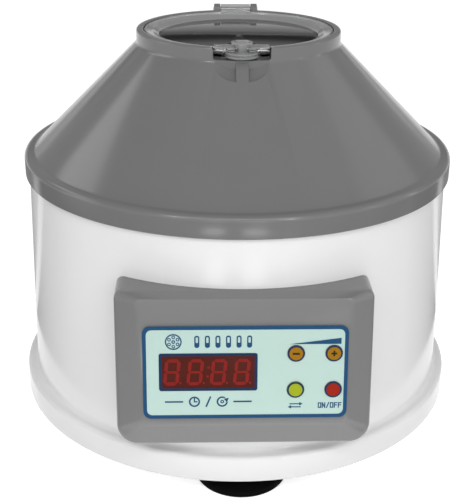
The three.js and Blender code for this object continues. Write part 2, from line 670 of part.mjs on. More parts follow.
function rotor() {
  const slope = (boreRadius + 4) / Math.cos(tilt);
  const outerAt = (z) => mouthCircle + (mouthZ - z) * Math.tan(tilt) + slope;
  const edge = rotorTopRadius;
  let head = solid(turned([
    [shaftRadius + gap, rotorSeatZ], [rotorHubRadius, rotorSeatZ], [rotorHubRadius + 2, rotorTopZ - 9],
    [edge - 6, rotorTopZ - 9], [outerAt(rotorBottomZ) - rotorWall, rotorBottomZ],
    [outerAt(rotorBottomZ), rotorBottomZ], [edge, rotorTopZ - 2], [edge - 2, rotorTopZ],
    [shaftRadius + gap, rotorTopZ],
  ], midSegments + 12));
  for (let i = 0; i < sleeveCount; i += 1) {
    const degrees = 360 / sleeveCount * (i + 0.5);
    const bore = bar(boreRadius, -80, 5, smallSegments);
    const lipSeat = bar(sleeveRadius + sleeveLip + gap, -lipThickness - gap, 30, smallSegments);
    head = head
      .subtract(solid(atSleeve(bore, degrees)))
      .subtract(solid(atSleeve(lipSeat, degrees)));
  }
  piece('rotor_head', head, blackPlastic);
  for (let i = 0; i < sleeveCount; i += 1) {
    const degrees = 360 / sleeveCount * (i + 0.5);
    const inner = sleeveRadius - sleeveWall;
    const bottom = -sleeveLength;
    const tube = turned([
      [0, bottom], [sleeveRadius * 0.6, bottom + 1.8], [sleeveRadius, bottom + sleeveRadius * 0.8],
      [sleeveRadius, -lipThickness], [sleeveRadius + sleeveLip, -lipThickness],
      [sleeveRadius + sleeveLip, 0],
      [inner, 0], [inner, bottom + sleeveRadius * 0.8], [inner * 0.6, bottom + 1.8 + sleeveWall],
      [0, bottom + sleeveWall],
    ], smallSegments, false);
    piece(`tube_sleeve_${i + 1}`, atSleeve(tube, degrees), steel);
  }
  const nut = turned([
    [shaftRadius + gap, nutBottomZ], [11, nutBottomZ], [11, nutBottomZ + 2], [9, nutBottomZ + 3],
    [9, nutBottomZ + 11], [8, nutBottomZ + 12], [0, nutBottomZ + 12], [0, nutBottomZ + 9],
    [shaftRadius + gap, nutBottomZ + 9],
  ], smallSegments);
  piece('rotor_nut', nut, aluminium);
}

// ---- Motor -------------------------------------------------------------------------------------
const mountPlaces = [30, 150, 270];
const mountStudRadius = 3;
const coreRadius = motorRadius - motorWall - gap;
const coreBore = 26.5;
const coreAirGap = 0.8;
const windingSpace = 12;         // room for the windings above and below the core
const bearingSeatDepth = 2;      // metal left behind each bearing
const fanHubRadius = 10;
const fanRadius = 30;
const fanBlades = 8;

function motor() {
  const bearingBore = shaftRadius + gap;
  const lowSeat = canZ - bellThickness;
  const bell = (z, up) => turned([
    [collarRadius + 1, z], [motorRadius, z], [motorRadius, z + up * bellThickness],
    [bearingRadius + 4, z + up * bellThickness], [bearingRadius + 4, z + up * (bellThickness + 4)],
    [bearingRadius + gap, z + up * (bellThickness + 4)], [bearingRadius + gap, z + up * bearingSeatDepth],
    [collarRadius + 1, z + up * bearingSeatDepth],
  ], midSegments);
  piece('lower_end_bell', bell(lowSeat, 1), aluminium);
  piece('upper_end_bell', bell(motorTopZ, -1), aluminium);
  const ring = (outer, inner, low, high) => turned(
    [[inner, low], [outer, low], [outer, high], [inner, high]], midSegments);
  piece('motor_can', ring(motorRadius, motorRadius - motorWall, canZ, canTopZ), darkSteel);
  const bearingLowZ = lowSeat + bearingSeatDepth + gap;
  const bearingHighZ = motorTopZ - bearingSeatDepth - gap;
  const bearing = (z) => ring(bearingRadius, bearingBore, z, z + bearingHeight);
  piece('lower_bearing', bearing(bearingLowZ), steel);
  piece('upper_bearing', bearing(bearingHighZ - bearingHeight), steel);
  const coreLowZ = canZ + windingSpace;
  const coreHighZ = canTopZ - windingSpace;
  piece('field_core', ring(coreRadius, coreBore, coreLowZ, coreHighZ), darkSteel);
  piece('armature_core', ring(coreBore - coreAirGap, bearingBore, coreLowZ, coreHighZ), steel);
  const shaft = turned([
    [0, shaftBottomZ], [shaftRadius, shaftBottomZ], [shaftRadius, motorTopZ - 1],
    [collarRadius, motorTopZ - 1], [collarRadius, rotorSeatZ - gap], [shaftRadius, rotorSeatZ - gap],
    [shaftRadius, nutBottomZ + 8], [0, nutBottomZ + 8],
  ], smallSegments, false);
  piece('motor_shaft', shaft, steel);
  // The fan hangs on the lower end of the shaft, over the vents of the base plate.
  const fanZ = shaftBottomZ + 2;
  let fan = solid(ring(fanHubRadius, bearingBore, fanZ, fanZ + 9))
    .add(solid(ring(fanRadius, bearingBore, fanZ + 7.5, fanZ + 9)));
  for (let i = 0; i < fanBlades; i += 1) {
    const blade = block([fanHubRadius - 2, -0.7, fanZ + 1], [fanRadius, 0.7, fanZ + 8])
      .rotateZ(2 * Math.PI * i / fanBlades);
    fan = fan.add(solid(blade));
  }
  piece('cooling_fan', fan, blackPlastic);
}

function motorMounting() {
  let sheet = solid(turned([
    [24, motorPlateZ], [motorPlateRadius, motorPlateZ],
    [motorPlateRadius, motorPlateTopZ], [24, motorPlateTopZ],
  ], midSegments));
  // Each mount is a rubber bobbin with its stud bonded in; the stud holds the base plate below and
  // the motor's plate above.
  const top = basePlateTopZ + mountHeight;
  const studLow = basePlateZ - 2.4;
  const studHigh = motorPlateTopZ + 5;
  for (const [i, degrees] of mountPlaces.entries()) {
    const [x, y] = onCircle(mountCircle, degrees);
    sheet = sheet.subtract(solid(bar(mountStudRadius + gap, 0, studHigh, tinySegments, x, y)));
    const mount = turned([
      [0, studLow], [mountStudRadius, studLow], [mountStudRadius, basePlateTopZ],
      [mountRadius, basePlateTopZ], [mountRadius, basePlateTopZ + 5], [mountRadius - 2.6, basePlateTopZ + 8],
      [mountRadius - 2.6, top - 8], [mountRadius, top - 5], [mountRadius, top],
      [mountStudRadius, top], [mountStudRadius, studHigh], [0, studHigh],
    ], smallSegments, false).translate(x, y, 0);
    piece(`rubber_mount_${i + 1}`, mount, blackRubber);
  }
  piece('motor_plate', sheet, steel);
}

// ---- Control housing, keypad and electronics -----------------------------------------------------
// The panel group lies in the face: +X right, +Y up along the face, +Z out of it.
const panel = new THREE.Group();
const faceTilt = rad(housingTilt);
const faceZ = skirtZ + housingFaceHeight;
const housingTopZ = skirtZ + housingTop;
const housingFace = drumRadiusAt(faceZ) + housingStandoff;
const faceTopAlong = (housingTopZ - faceZ) / Math.cos(faceTilt);     // face height above the group's origin
const faceLength = housingHeight / Math.cos(faceTilt);
panel.position.set(0, -housingFace, faceZ);
panel.rotation.x = Math.PI / 2 - faceTilt;

const keypadLeft = keypadShift - keypadWidth / 2;
const keypadTop = faceTopAlong - keypadTopDrop;
const keypadMiddle = keypadTop - keypadHeight / 2;
const displayMiddle = [keypadLeft + displayLeft + displayWidth / 2,
  keypadTop - displayDrop - displayHeight / 2];
const keyNames = [['key_minus', keyAmber], ['key_plus', keyAmber],
  ['key_select', keyGreen], ['key_power', keyRed]];
const keyPlace = (i) => [keypadLeft + keyColumns[i % 2], keypadTop - keyRows[Math.floor(i / 2)]];
const boardFrontZ = -boardDepth;
const boardPostPlaces = [[-1, -1], [1, -1], [1, 1], [-1, 1]].map(([sx, sy]) => [
  keypadShift + sx * (boardWidth / 2 - 4), keypadMiddle + sy * (boardHeight / 2 - 4)]);

// One closed outline of the housing at a depth behind its face, brought in from the housing's own
// width and height by the insets: at the top and the bottom, and at each side high up and low down.
// The outlines rise with depth along the face, so that the housing's top and bottom come out level
// although the face leans back.
function housingRing(z, [top, bottom], [highSide, lowSide], corner, topCorner) {
  const width = housingWidth - 2 * highSide;
  const height = faceLength - bottom - top;
  const middle = faceTopAlong - top - height / 2 - z * Math.tan(faceTilt);
  const points = roundedOutline(width, height, corner, topCorner).getPoints(5);
  points.pop();
  return points.map((point) => {
    const narrowing = 1 - (2 * (lowSide - highSide) / width) * (0.5 - point.y / height);
    return new THREE.Vector3(point.x * narrowing, point.y + middle, z);
  });
}

function controlHousing() {
  const depth = 60;
  const [low, high] = [housingCorner, housingTopCorner];
  const edge = 0.8;
  const outer = skinned([
    housingRing(-depth, [0, 0], [0, 0], low, high),
    housingRing(-housingBorderDepth - 2 * edge, [0, 0], [0, 0], low, high),
    housingRing(-housingBorderDepth, [0.3, 0.5], [0.5, 0.5], low, high),
    housingRing(-0.5, [housingTopBorder - 0.4, housingBottomBorder - edge],
      [housingBorder - edge, housingLowBorder - edge], 3, 3),
    housingRing(0, [housingTopBorder, housingBottomBorder], [housingBorder, housingLowBorder], 3, 3),
  ]);
  const w = housingWall;
  const hollow = skinned([
    housingRing(-depth - 5, [w, w], [w, w], low - w, high - w),
    housingRing(-housingBorderDepth - 2 * edge - w, [w, w], [w, w], low - w, high - w),
    housingRing(-w, [housingTopBorder + w, housingBottomBorder + 0.4],
      [housingBorder + 0.4, housingLowBorder + 0.4], 2, 2),
  ]);
  panel.updateMatrixWorld(true);
  const intoPanel = (body) => solid(shapeOf(body).applyMatrix4(panel.matrixWorld.clone().invert()));
  const drum = intoPanel(drumBody(gap));
  let body = solid(outer).subtract(solid(hollow));
  // Bosses: four for the board, and two at the sides that the housing's screws go into.
  for (const [x, y] of boardPostPlaces) {
    body = body.add(solid(bar(2.6, boardFrontZ, -w + 0.5, tinySegments, x, y)));
  }
  for (const x of housingScrewPlaces) {
    const boss = solid(barAlongY(housingScrewBoss, -housingFace, -90, x, housingScrewZ));
    const hole = solid(barAlongY(housingScrewRadius + gap, -housingFace + 12, -90, x, housingScrewZ));
    body = body.add(intoPanel(boss)).subtract(intoPanel(hole));
  }
  body = body.subtract(drum);
  const [dx, dy] = displayMiddle;
  body = body.subtract(solid(block([dx - displayWidth / 2 + 1.5, dy - displayHeight / 2 + 1.5, -w - 5],
    [dx + displayWidth / 2 - 1.5, dy + displayHeight / 2 - 1.5, 5])));
  for (let i = 0; i < keyNames.length; i += 1) {
    const [x, y] = keyPlace(i);
    body = body.subtract(solid(bar(keyRadius - 0.6, -w - 5, 5, smallSegments, x, y)));
  }
  piece('control_housing', body.intersect(solid(outer)), greyPlastic, panel);
}

function keypadParts() {
  const [low, high] = [gap, gap + keypadThickness];
  const [dx, dy] = displayMiddle;
  let sheet = solid(plate(keypadWidth, keypadHeight, 4, low, high).translate(keypadShift, keypadMiddle, 0));
  sheet = sheet.subtract(solid(block([dx - displayWidth / 2, dy - displayHeight / 2, low - 5],
    [dx + displayWidth / 2, dy + displayHeight / 2, high + 5])));
  for (let i = 0; i < keyNames.length; i += 1) {
    const [x, y] = keyPlace(i);
    sheet = sheet.subtract(solid(bar(keyRadius + gap, low - 5, high + 5, smallSegments, x, y)));
  }
  piece('keypad_overlay', sheet, keypadMint, panel);
  const lens = block([dx - displayWidth / 2 + gap, dy - displayHeight / 2 + gap, gap],
    [dx + displayWidth / 2 - gap, dy + displayHeight / 2 - gap, high + 0.1]);
  piece('display_window', lens, displayRed, panel);
  const digits = block([dx - displayWidth / 2 + 1.9, dy - displayHeight / 2 + 1.9, boardFrontZ + gap],
    [dx + displayWidth / 2 - 1.9, dy + displayHeight / 2 - 1.9, -1.2]);
  piece('display_module', digits, moduleGrey, panel);
  for (const [i, [name, material]] of keyNames.entries()) {
    const [x, y] = keyPlace(i);
    const top = high + keyProud;
    const rimLow = keyTravel + gap;
    const cap = turned([
      [0, -housingWall - 4], [2, -housingWall - 4], [keyRadius - 1, -housingWall], [keyRadius - 1, rimLow],
      [keyRadius, rimLow], [keyRadius, top - 0.3], [keyRadius - 0.5, top], [0, top],
    ], smallSegments, false).translate(x, y, 0);
    piece(name, cap, material, panel);
    const press = -housingWall - 4 - keyTravel - gap;
    const button = solid(block([x - 3, y - 3, boardFrontZ + gap], [x + 3, y + 3, press - 1]))
      .add(solid(bar(1.7, press - 1.5, press, tinySegments, x, y)));
    piece(name.replace('key', 'switch'), button, blackPlastic, panel);
  }
}

function controlBoard() {
  const low = [keypadShift - boardWidth / 2, keypadMiddle - boardHeight / 2];
  const high = [keypadShift + boardWidth / 2, keypadMiddle + boardHeight / 2];
  const board = block([...low, boardFrontZ - boardThickness - gap], [...high, boardFrontZ - gap]);
  piece('control_board', board, boardGreen, panel);
}

function housingScrews() {
  for (const [i, x] of housingScrewPlaces.entries()) {
    const screw = turned([
      [0, -2.2], [3, -2.2], [4, -1.2], [4, 0], [housingScrewRadius, 0], [housingScrewRadius, 17], [0, 17],
    ], tinySegments, false).rotateX(Math.PI / 2).translate(x, housingScrewSeatY, housingScrewZ);
    piece(`housing_screw_${i ? 'right' : 'left'}`, screw, steel);
  }
}

// ---- Mains inlet, power board and capacitor ------------------------------------------------------
function powerInlet() {
  const y = inletSeatY + gap;
  const [halfW, halfH] = [inletBodyWidth / 2, inletBodyHeight / 2];
  const socketZ = inletZ + 6;
  const drawerZ = inletZ - 10;
  let body = solid(plate(inletWidth, inletHeight, 3, 0, inletFlange, 3)
    .rotateX(-Math.PI / 2).translate(0, y, inletZ))
    .add(solid(block([-halfW, y - inletDepth, inletZ - halfH], [halfW, y + 0.5, inletZ + halfH])));
  const socket = plate(socketWidth, socketHeight, 2.4, -socketDepth, 10, 3)
    .rotateX(-Math.PI / 2).translate(0, y + inletFlange, socketZ);
  const [holeX, holeZ] = [drawerWidth / 2 + gap, drawerHeight / 2 + gap];
  const drawerHole = block([-holeX, y + inletFlange - drawerDepth - 1, drawerZ - holeZ],
    [holeX, y + 10, drawerZ + holeZ]);
  body = body.subtract(solid(socket)).subtract(solid(drawerHole));
  // Three flat contacts stand in the socket and come out behind as tabs.
  for (const [x, rise] of [[-7, -2], [0, 2], [7, -2]]) {
    body = body.add(solid(block([x - 1, y - inletDepth - 7, socketZ + rise - 2],
      [x + 1, y + inletFlange - 5, socketZ + rise + 2])));
  }
  piece('power_inlet', body, blackPlastic);
  const outside = y + inletFlange;
  const [drawerX, low, high] = [drawerWidth / 2, drawerZ - drawerHeight / 2, drawerZ + drawerHeight / 2];
  const tray = block([-drawerX, outside - drawerDepth, low], [drawerX, outside + 1, high]);
  const trough = block([-drawerX + 2, outside - drawerDepth + 2, low + 1.4],
    [drawerX - 2, outside - 2, high + 5]);
  const grip = block([-6, outside + 0.5, drawerZ - 1.2], [6, outside + 2, drawerZ + 1.2]);
  const drawer = solid(tray).subtract(solid(trough)).add(solid(grip));
  piece('fuse_drawer', drawer, blackPlastic);
}

function powerParts() {
  const z = basePlateTopZ + boardPosts.height;
  const topZ = z + boardThickness;
  let board = solid(block([-boardPosts.x - 5, boardPosts.near - 4, z],
    [boardPosts.x + 5, boardPosts.far + 4, topZ]));
  // Transformer, filter, heat sink and relay: middle x and y, half width, half depth and height.
  const parts = [[-24, 78, 12, 9, 16], [4, 96, 9, 6, 12], [22, 84, 8, 12, 10], [-8, 85, 7, 6, 20]];
  for (const [x, y, halfX, halfY, height] of parts) {
    board = board.add(solid(block([x - halfX, y - halfY, z + 1], [x + halfX, y + halfY, topZ + height])));
  }
  piece('power_board', board, boardGreen);
  const { x, y, radius, height } = capacitorPlace;
  const can = turned([
    [0, basePlateTopZ], [radius, basePlateTopZ], [radius, basePlateTopZ + height - 2],
    [radius - 2, basePlateTopZ + height], [0, basePlateTopZ + height],
  ], smallSegments, false).translate(x, y, 0);
  piece('run_capacitor', can, capacitorBlue);
}

mainShell();
basePlate();
feet();
topCover();
coverFixings();
lidAssembly();
latch();
chamberBowl();
rotor();
motor();
motorMounting();
machine.add(panel);
controlHousing();
keypadParts();
controlBoard();
housingScrews();
powerInlet();
powerParts();

// The origin lies under the middle of the whole outline, so the drum axis moves back a little.
const part = new THREE.Group();
const outline = new THREE.Box3().setFromObject(machine, true);
machine.position.y = -(outline.min.y + outline.max.y) / 2;
part.add(machine);

export default part;
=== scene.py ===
# %% [markdown]
# # A bench centrifuge
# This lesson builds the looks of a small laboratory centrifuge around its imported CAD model. The CAD
# bodies are a fixed frame: every visible piece here takes its place from them and rides on one of
# them, so the lid still opens and the rotor still turns. All lengths below are in millimetres and are
# multiplied by `MM` once, because Blender works in metres.

# %% Load the frame
import math

import bmesh
import bpy
from mathutils import Matrix, Vector


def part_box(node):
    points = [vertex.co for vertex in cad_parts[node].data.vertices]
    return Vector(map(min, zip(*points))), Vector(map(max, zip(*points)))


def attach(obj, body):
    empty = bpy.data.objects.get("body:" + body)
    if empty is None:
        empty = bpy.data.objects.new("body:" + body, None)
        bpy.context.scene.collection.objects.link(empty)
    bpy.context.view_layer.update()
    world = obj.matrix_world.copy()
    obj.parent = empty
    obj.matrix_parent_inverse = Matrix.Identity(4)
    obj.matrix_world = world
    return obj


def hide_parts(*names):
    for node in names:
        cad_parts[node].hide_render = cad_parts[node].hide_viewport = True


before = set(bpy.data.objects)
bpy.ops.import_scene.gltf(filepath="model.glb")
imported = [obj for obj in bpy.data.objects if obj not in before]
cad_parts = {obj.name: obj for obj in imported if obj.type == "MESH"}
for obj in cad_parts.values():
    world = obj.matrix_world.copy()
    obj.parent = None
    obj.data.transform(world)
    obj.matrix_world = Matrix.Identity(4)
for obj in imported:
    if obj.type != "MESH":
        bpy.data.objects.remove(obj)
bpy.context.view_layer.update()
MM = 0.001

# %% Where the main lines of the machine are
shell_low, shell_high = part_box("main_shell")
cover_low, cover_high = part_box("top_cover")
AXIS_Y = (cover_low.y + cover_high.y) / 2 / MM      # the drum's axis stands at x = 0
SKIRT_Z = shell_low.z / MM
DRUM_TOP_Z = shell_high.z / MM
SKIRT_R = shell_high.x / MM
RIM_R = cover_high.x / MM
print("drum axis at y", round(AXIS_Y, 2), "skirt radius", round(SKIRT_R, 1))

# %% [markdown]
# ## Camera
# The machine is seen from a little above the lid, nearly square to its control housing. A wide lens
# close by would make the drum's sides lean, so this one is long and stands well back. The camera
# is placed by its distance, height and pitch, and it is rolled by about half a degree.

# %% Camera
LENS_MM = 74.07
SIDE_SHIFT = -0.0129            # as a share of the picture's width
CAMERA_DISTANCE = 605.0
CAMERA_HEIGHT = 349.3
CAMERA_TURN = math.radians(2.0)
CAMERA_PITCH = math.radians(22.93)
CAMERA_ROLL = math.radians(0.55)
NEAREST, FARTHEST = 0.01, 50    # what the camera sees, in metres


def place_camera():
    ahead = Vector((math.sin(CAMERA_TURN), math.cos(CAMERA_TURN), 0))
    forward = ahead * math.cos(CAMERA_PITCH) - Vector((0, 0, math.sin(CAMERA_PITCH)))
    up = ahead * math.sin(CAMERA_PITCH) + Vector((0, 0, math.cos(CAMERA_PITCH)))
    right = forward.cross(up)
    right, up = (right * math.cos(CAMERA_ROLL) + up * math.sin(CAMERA_ROLL),
                 up * math.cos(CAMERA_ROLL) - right * math.sin(CAMERA_ROLL))
    place = -ahead * CAMERA_DISTANCE + Vector((0, AXIS_Y, CAMERA_HEIGHT))
    camera = bpy.data.objects.new("camera", bpy.data.cameras.new("camera"))
    bpy.context.scene.collection.objects.link(camera)
    turn = Matrix((right, up, -forward)).transposed().to_4x4()
    camera.matrix_world = Matrix.Translation(place * MM) @ turn
    camera.data.lens = LENS_MM
    camera.data.shift_x = SIDE_SHIFT
    camera.data.clip_start, camera.data.clip_end = NEAREST, FARTHEST
    return camera


bpy.context.scene.camera = place_camera()
bpy.context.scene.view_settings.view_transform = "Standard"
print("camera at", [round(v, 3) for v in bpy.context.scene.camera.location])

# %% [markdown]
# ## Mesh tools
# Nearly everything on this machine is turned or moulded. A turned piece is a profile spun round an
# axis, and what makes it look moulded is the small round on each edge, which catches a line of light.
# A bevel modifier could add that round, but it treats all edges alike. So the first helper puts an arc
# of its own radius on any corner of a path, and the next ones spin, skin and cut.

# %% Rounding the corners of a path
ARC_STEP = math.radians(15)
STRAIGHT = math.radians(2)      # a corner that turns less than this stays as it is
HALF_SIDE = 0.499               # an arc takes up to this share of the sides next to it


def rounded(path, closed=False):
    """Path points are (a, b) or (a, b, radius); corners with a radius become arcs."""
    out = []
    count = len(path)
    for i, entry in enumerate(path):
        here = Vector(entry[:2])
        radius = entry[2] if len(entry) > 2 else 0
        ends = not closed and i in (0, count - 1)
        if radius <= 0 or ends:
            out.append(here)
            continue
        before = Vector(path[i - 1][:2]) - here
        after = Vector(path[(i + 1) % count][:2]) - here
        angle = before.angle(after)
        turn = math.pi - angle
        if turn < STRAIGHT:
            out.append(here)
            continue
        reach = min(radius * math.tan(turn / 2), before.length * HALF_SIDE, after.length * HALF_SIDE)
        radius = reach / math.tan(turn / 2)
        first, last = here + before.normalized() * reach, here + after.normalized() * reach
        inward = (before.normalized() + after.normalized()).normalized()
        middle = here + inward * (radius / math.sin(angle / 2))
        steps = max(2, round(turn / ARC_STEP))
        start, end = first - middle, last - middle
        swing = math.atan2(start.x * end.y - start.y * end.x, start.dot(end))
        for k in range(steps + 1):
            out.append(middle + Matrix.Rotation(swing * k / steps, 2) @ start)
    return [(p.x, p.y) for p in out]


square = [(0, 0, 1), (9, 0, 1), (9, 9, 1), (0, 9, 1)]
print("a rounded square has", len(rounded(square, closed=True)), "points")

# %% From points and faces to an object
SHARP_ANGLE = math.radians(32)
WELD_M, SLIVER_M = 2e-6, 1e-6   # points closer than this are one; faces thinner than this go


def linked(name, data):
    """A new object of the scene."""
    made = bpy.data.objects.new(name, data)
    bpy.context.scene.collection.objects.link(made)
    return made


def shade(mesh):
    """Smooth faces, with hard lines where the surface folds."""
    mesh.polygons.foreach_set("use_smooth", [True] * len(mesh.polygons))
    mesh.set_sharp_from_angle(angle=SHARP_ANGLE)


def to_object(name, points, faces):
    mesh = bpy.data.meshes.new(name)
    mesh.from_pydata([Vector(p) * MM for p in points], [], faces)
    tidy = bmesh.new()
    tidy.from_mesh(mesh)
    bmesh.ops.remove_doubles(tidy, verts=tidy.verts, dist=WELD_M)
    bmesh.ops.dissolve_degenerate(tidy, edges=tidy.edges, dist=SLIVER_M)
    bmesh.ops.recalc_face_normals(tidy, faces=tidy.faces)
    tidy.to_mesh(mesh)
    tidy.free()
    shade(mesh)
    return linked(name, mesh)


print("surfaces fold at", round(math.degrees(SHARP_ANGLE)), "degrees")

# %% Turning a profile round an upright axis
ON_AXIS = 1e-6


def turned(name, profile, steps=160, centre=(0, None), closed=True):
    """Spins a list of (radius, height) round the drum's axis, or round another one."""
    cx, cy = centre[0], AXIS_Y if centre[1] is None else centre[1]
    points, rows = [], []
    for radius, height in profile:
        if radius < ON_AXIS:
            rows.append([len(points)] * steps)
            points.append((cx, cy, height))
            continue
        rows.append(list(range(len(points), len(points) + steps)))
        for k in range(steps):
            angle = 2 * math.pi * k / steps
            points.append((cx + radius * math.cos(angle), cy + radius * math.sin(angle), height))
    pairs = list(zip(rows, rows[1:] + rows[:1])) if closed else list(zip(rows, rows[1:]))
    faces = []
    for low, high in pairs:
        for k in range(steps):
            n = (k + 1) % steps
            corners = [low[k], low[n], high[n], high[k]]
            face = [c for j, c in enumerate(corners) if c != corners[j - 1]]
            if len(face) > 2:
                faces.append(face)
    return to_object(name, points, faces)


def disc(name, radius, low, high, centre, steps=96, edge=0.0):
    """A round bar or plate between two heights, its rims rounded by edge."""
    profile = rounded([(0, low), (radius, low, edge), (radius, high, edge), (0, high)])
    return turned(name, profile, steps, centre, closed=False)


print("round pieces are turned in", turned.__defaults__[0], "steps unless they say otherwise")

# %% Skinning a stack of rings
EDGE_STEPS = 4


def skinned(name, rings):
    """Joins rings of equally many points into a closed skin, with a flat face at each end."""
    count = len(rings[0])
    points = [p for ring in rings for p in ring]
    faces = []
    for r in range(len(rings) - 1):
        for k in range(count):
            n = (k + 1) % count
            a, b = r * count, (r + 1) * count
            faces.append((a + k, a + n, b + n, b + k))
    faces.append(tuple(reversed(range(count))))
    faces.append(tuple(range((len(rings) - 1) * count, len(rings) * count)))
    return to_object(name, points, faces)


def slab(name, outline, low, high):
    """A flat outline in x and y, filled in between two heights."""
    return skinned(name, [[(p[0], p[1], z) for p in outline] for z in (low, high)])


def rounded_rectangle(width, height, radius, middle=(0, 0)):
    x, y = width / 2, height / 2
    corners = [(x, -y, radius), (x, y, radius), (-x, y, radius), (-x, -y, radius)]
    return [(a + middle[0], b + middle[1]) for a, b in rounded(corners, closed=True)]


def prism(name, outline, low, high, edge=0.0):
    """A slab with its top and bottom edges rounded by edge."""
    cx = sum(p[0] for p in outline) / len(outline)
    cy = sum(p[1] for p in outline) / len(outline)
    half_x = max(abs(p[0] - cx) for p in outline)
    half_y = max(abs(p[1] - cy) for p in outline)
    levels = [(low, 0), (high, 0)]
    if edge > 0:
        arc = [math.pi / 2 * k / EDGE_STEPS for k in range(EDGE_STEPS + 1)]
        levels = [(low + edge * (1 - math.sin(a)), edge * (1 - math.cos(a))) for a in reversed(arc)]
        levels += [(high - edge * (1 - math.sin(a)), edge * (1 - math.cos(a))) for a in arc]
    rings = [[(cx + (x - cx) * (1 - inset / half_x), cy + (y - cy) * (1 - inset / half_y), z)
              for x, y in outline] for z, inset in levels]
    return skinned(name, rings)


def block(name, low, high, edge=0.0):
    """A box between two corners, in mm, its edges rounded by edge."""
    middle = [(a + b) / 2 for a, b in zip(low, high)]
    size = [b - a for a, b in zip(low, high)]
    outline = rounded_rectangle(size[0], size[1], max(edge, 0.0), middle[:2])
    return prism(name, outline, low[2], high[2], edge)


print("edges are rounded in", EDGE_STEPS, "steps")

# %% Cutting, joining and placing
def baked(piece):
    """Applies a piece's modifiers to its mesh."""
    bpy.context.view_layer.update()
    graph = bpy.context.evaluated_depsgraph_get()
    mesh = bpy.data.meshes.new_from_object(piece.evaluated_get(graph))
    piece.modifiers.clear()
    piece.data = mesh
    shade(mesh)
    return piece


def combined(piece, tool, how="DIFFERENCE"):
    """Cuts tool out of piece, or adds or intersects it, and removes the tool."""
    modifier = piece.modifiers.new(how, "BOOLEAN")
    modifier.operation, modifier.solver, modifier.object = how, "MANIFOLD", tool
    baked(piece)
    bpy.data.objects.remove(tool)
    return piece


def moved(piece, matrix):
    """Puts a transform, in mm, into the mesh itself, so that the object stays at the origin."""
    scale = Matrix.Scale(MM, 4)
    piece.data.transform(scale @ matrix @ scale.inverted())
    return piece


def joined(name, parts):
    """Several meshes as one object, kept as they are."""
    mesh = bmesh.new()
    for part in parts:
        mesh.from_mesh(part.data)
        bpy.data.objects.remove(part)
    data = bpy.data.meshes.new(name)
    mesh.to_mesh(data)
    mesh.free()
    shade(data)
    return linked(name, data)


PIECES = []


def settle(piece, body, material, slot, *nodes):
    """Gives a piece its finish, lets it ride on a body and stand for its CAD nodes."""
    piece.data.materials.clear()
    piece.data.materials.append(material)
    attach(piece, body)
    if nodes:
        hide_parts(*nodes)
    PIECES.append(piece.name)
    return piece


print("mesh tools ready")

# %% [markdown]
# ## Finishes
# A moulded plastic is never one flat colour: it has a very faint mottle from the melt, a slightly
# uneven gloss and a waviness of the surface that bends reflections. A single colour on the shader
# would be quicker, but it looks like a drawing. Every finish below is made of the same few steps, so
# one helper builds them all: a noise that tints the colour, a noise that varies the roughness, and
# one or two noises that drive a bump. Values that are the same all over go straight on the shader.

# %% A helper for finishes
COLOUR_DETAIL, BUMP_DETAIL = 3.0, 2.0
GLOSS_SCALE = 0.6               # the gloss varies on a finer scale than the colour


def finish(name, colour, roughness, metallic=0.0, mottle=0.03, mottle_size=12.0, rough_spread=0.04,
           grain=0.0, grain_size=0.5, wave=0.0, wave_size=20.0, stretch=(1, 1, 1), **sockets):
    """A Principled finish. Sizes are in mm; grain and wave are bump heights in mm."""
    material = bpy.data.materials.new(name)
    material.use_nodes = True
    nodes, links = material.node_tree.nodes, material.node_tree.links
    shader = nodes["Principled BSDF"]
    shader.inputs["Metallic"].default_value = metallic
    for key, value in sockets.items():
        shader.inputs[key.replace("_", " ")].default_value = value
    place = nodes.new("ShaderNodeTexCoord")
    spread = nodes.new("ShaderNodeMapping")
    spread.inputs["Scale"].default_value = stretch
    links.new(place.outputs["Object"], spread.inputs["Vector"])

    def speckle(size, detail=COLOUR_DETAIL):
        texture = nodes.new("ShaderNodeTexNoise")
        texture.inputs["Scale"].default_value = 1 / (size * MM)
        texture.inputs["Detail"].default_value = detail
        links.new(spread.outputs["Vector"], texture.inputs["Vector"])
        return texture.outputs["Fac"]

    tint = nodes.new("ShaderNodeMix")
    tint.data_type = "RGBA"
    tint.inputs["A"].default_value = [max(0, c * (1 - mottle)) for c in colour] + [1]
    tint.inputs["B"].default_value = [min(1, c * (1 + mottle)) for c in colour] + [1]
    links.new(speckle(mottle_size), tint.inputs["Factor"])
    links.new(tint.outputs["Result"], shader.inputs["Base Color"])
    gloss = nodes.new("ShaderNodeMapRange")
    gloss.inputs["To Min"].default_value = max(0.0, roughness - rough_spread)
    gloss.inputs["To Max"].default_value = roughness + rough_spread
    links.new(speckle(mottle_size * GLOSS_SCALE), gloss.inputs["Value"])
    links.new(gloss.outputs["Result"], shader.inputs["Roughness"])
    normal = None
    for height, size in ((wave, wave_size), (grain, grain_size)):
        if height <= 0:
            continue
        bump = nodes.new("ShaderNodeBump")
        bump.inputs["Distance"].default_value = height * MM
        bump.inputs["Strength"].default_value = 1.0
        links.new(speckle(size, BUMP_DETAIL), bump.inputs["Height"])
        if normal is not None:
            links.new(normal, bump.inputs["Normal"])
        normal = bump.outputs["Normal"]
    if normal is not None:
        links.new(normal, shader.inputs["Normal"])
    return material


def linear(red, green, blue):
    """An 8-bit screen colour as the linear values that shaders take."""
    return tuple(((c / 255 + 0.055) / 1.055) ** 2.4 if c > 10 else c / 255 / 12.92
                 for c in (red, green, blue))


print("a mid grey of 114 is", round(linear(114, 114, 114)[0], 3), "to a shader")

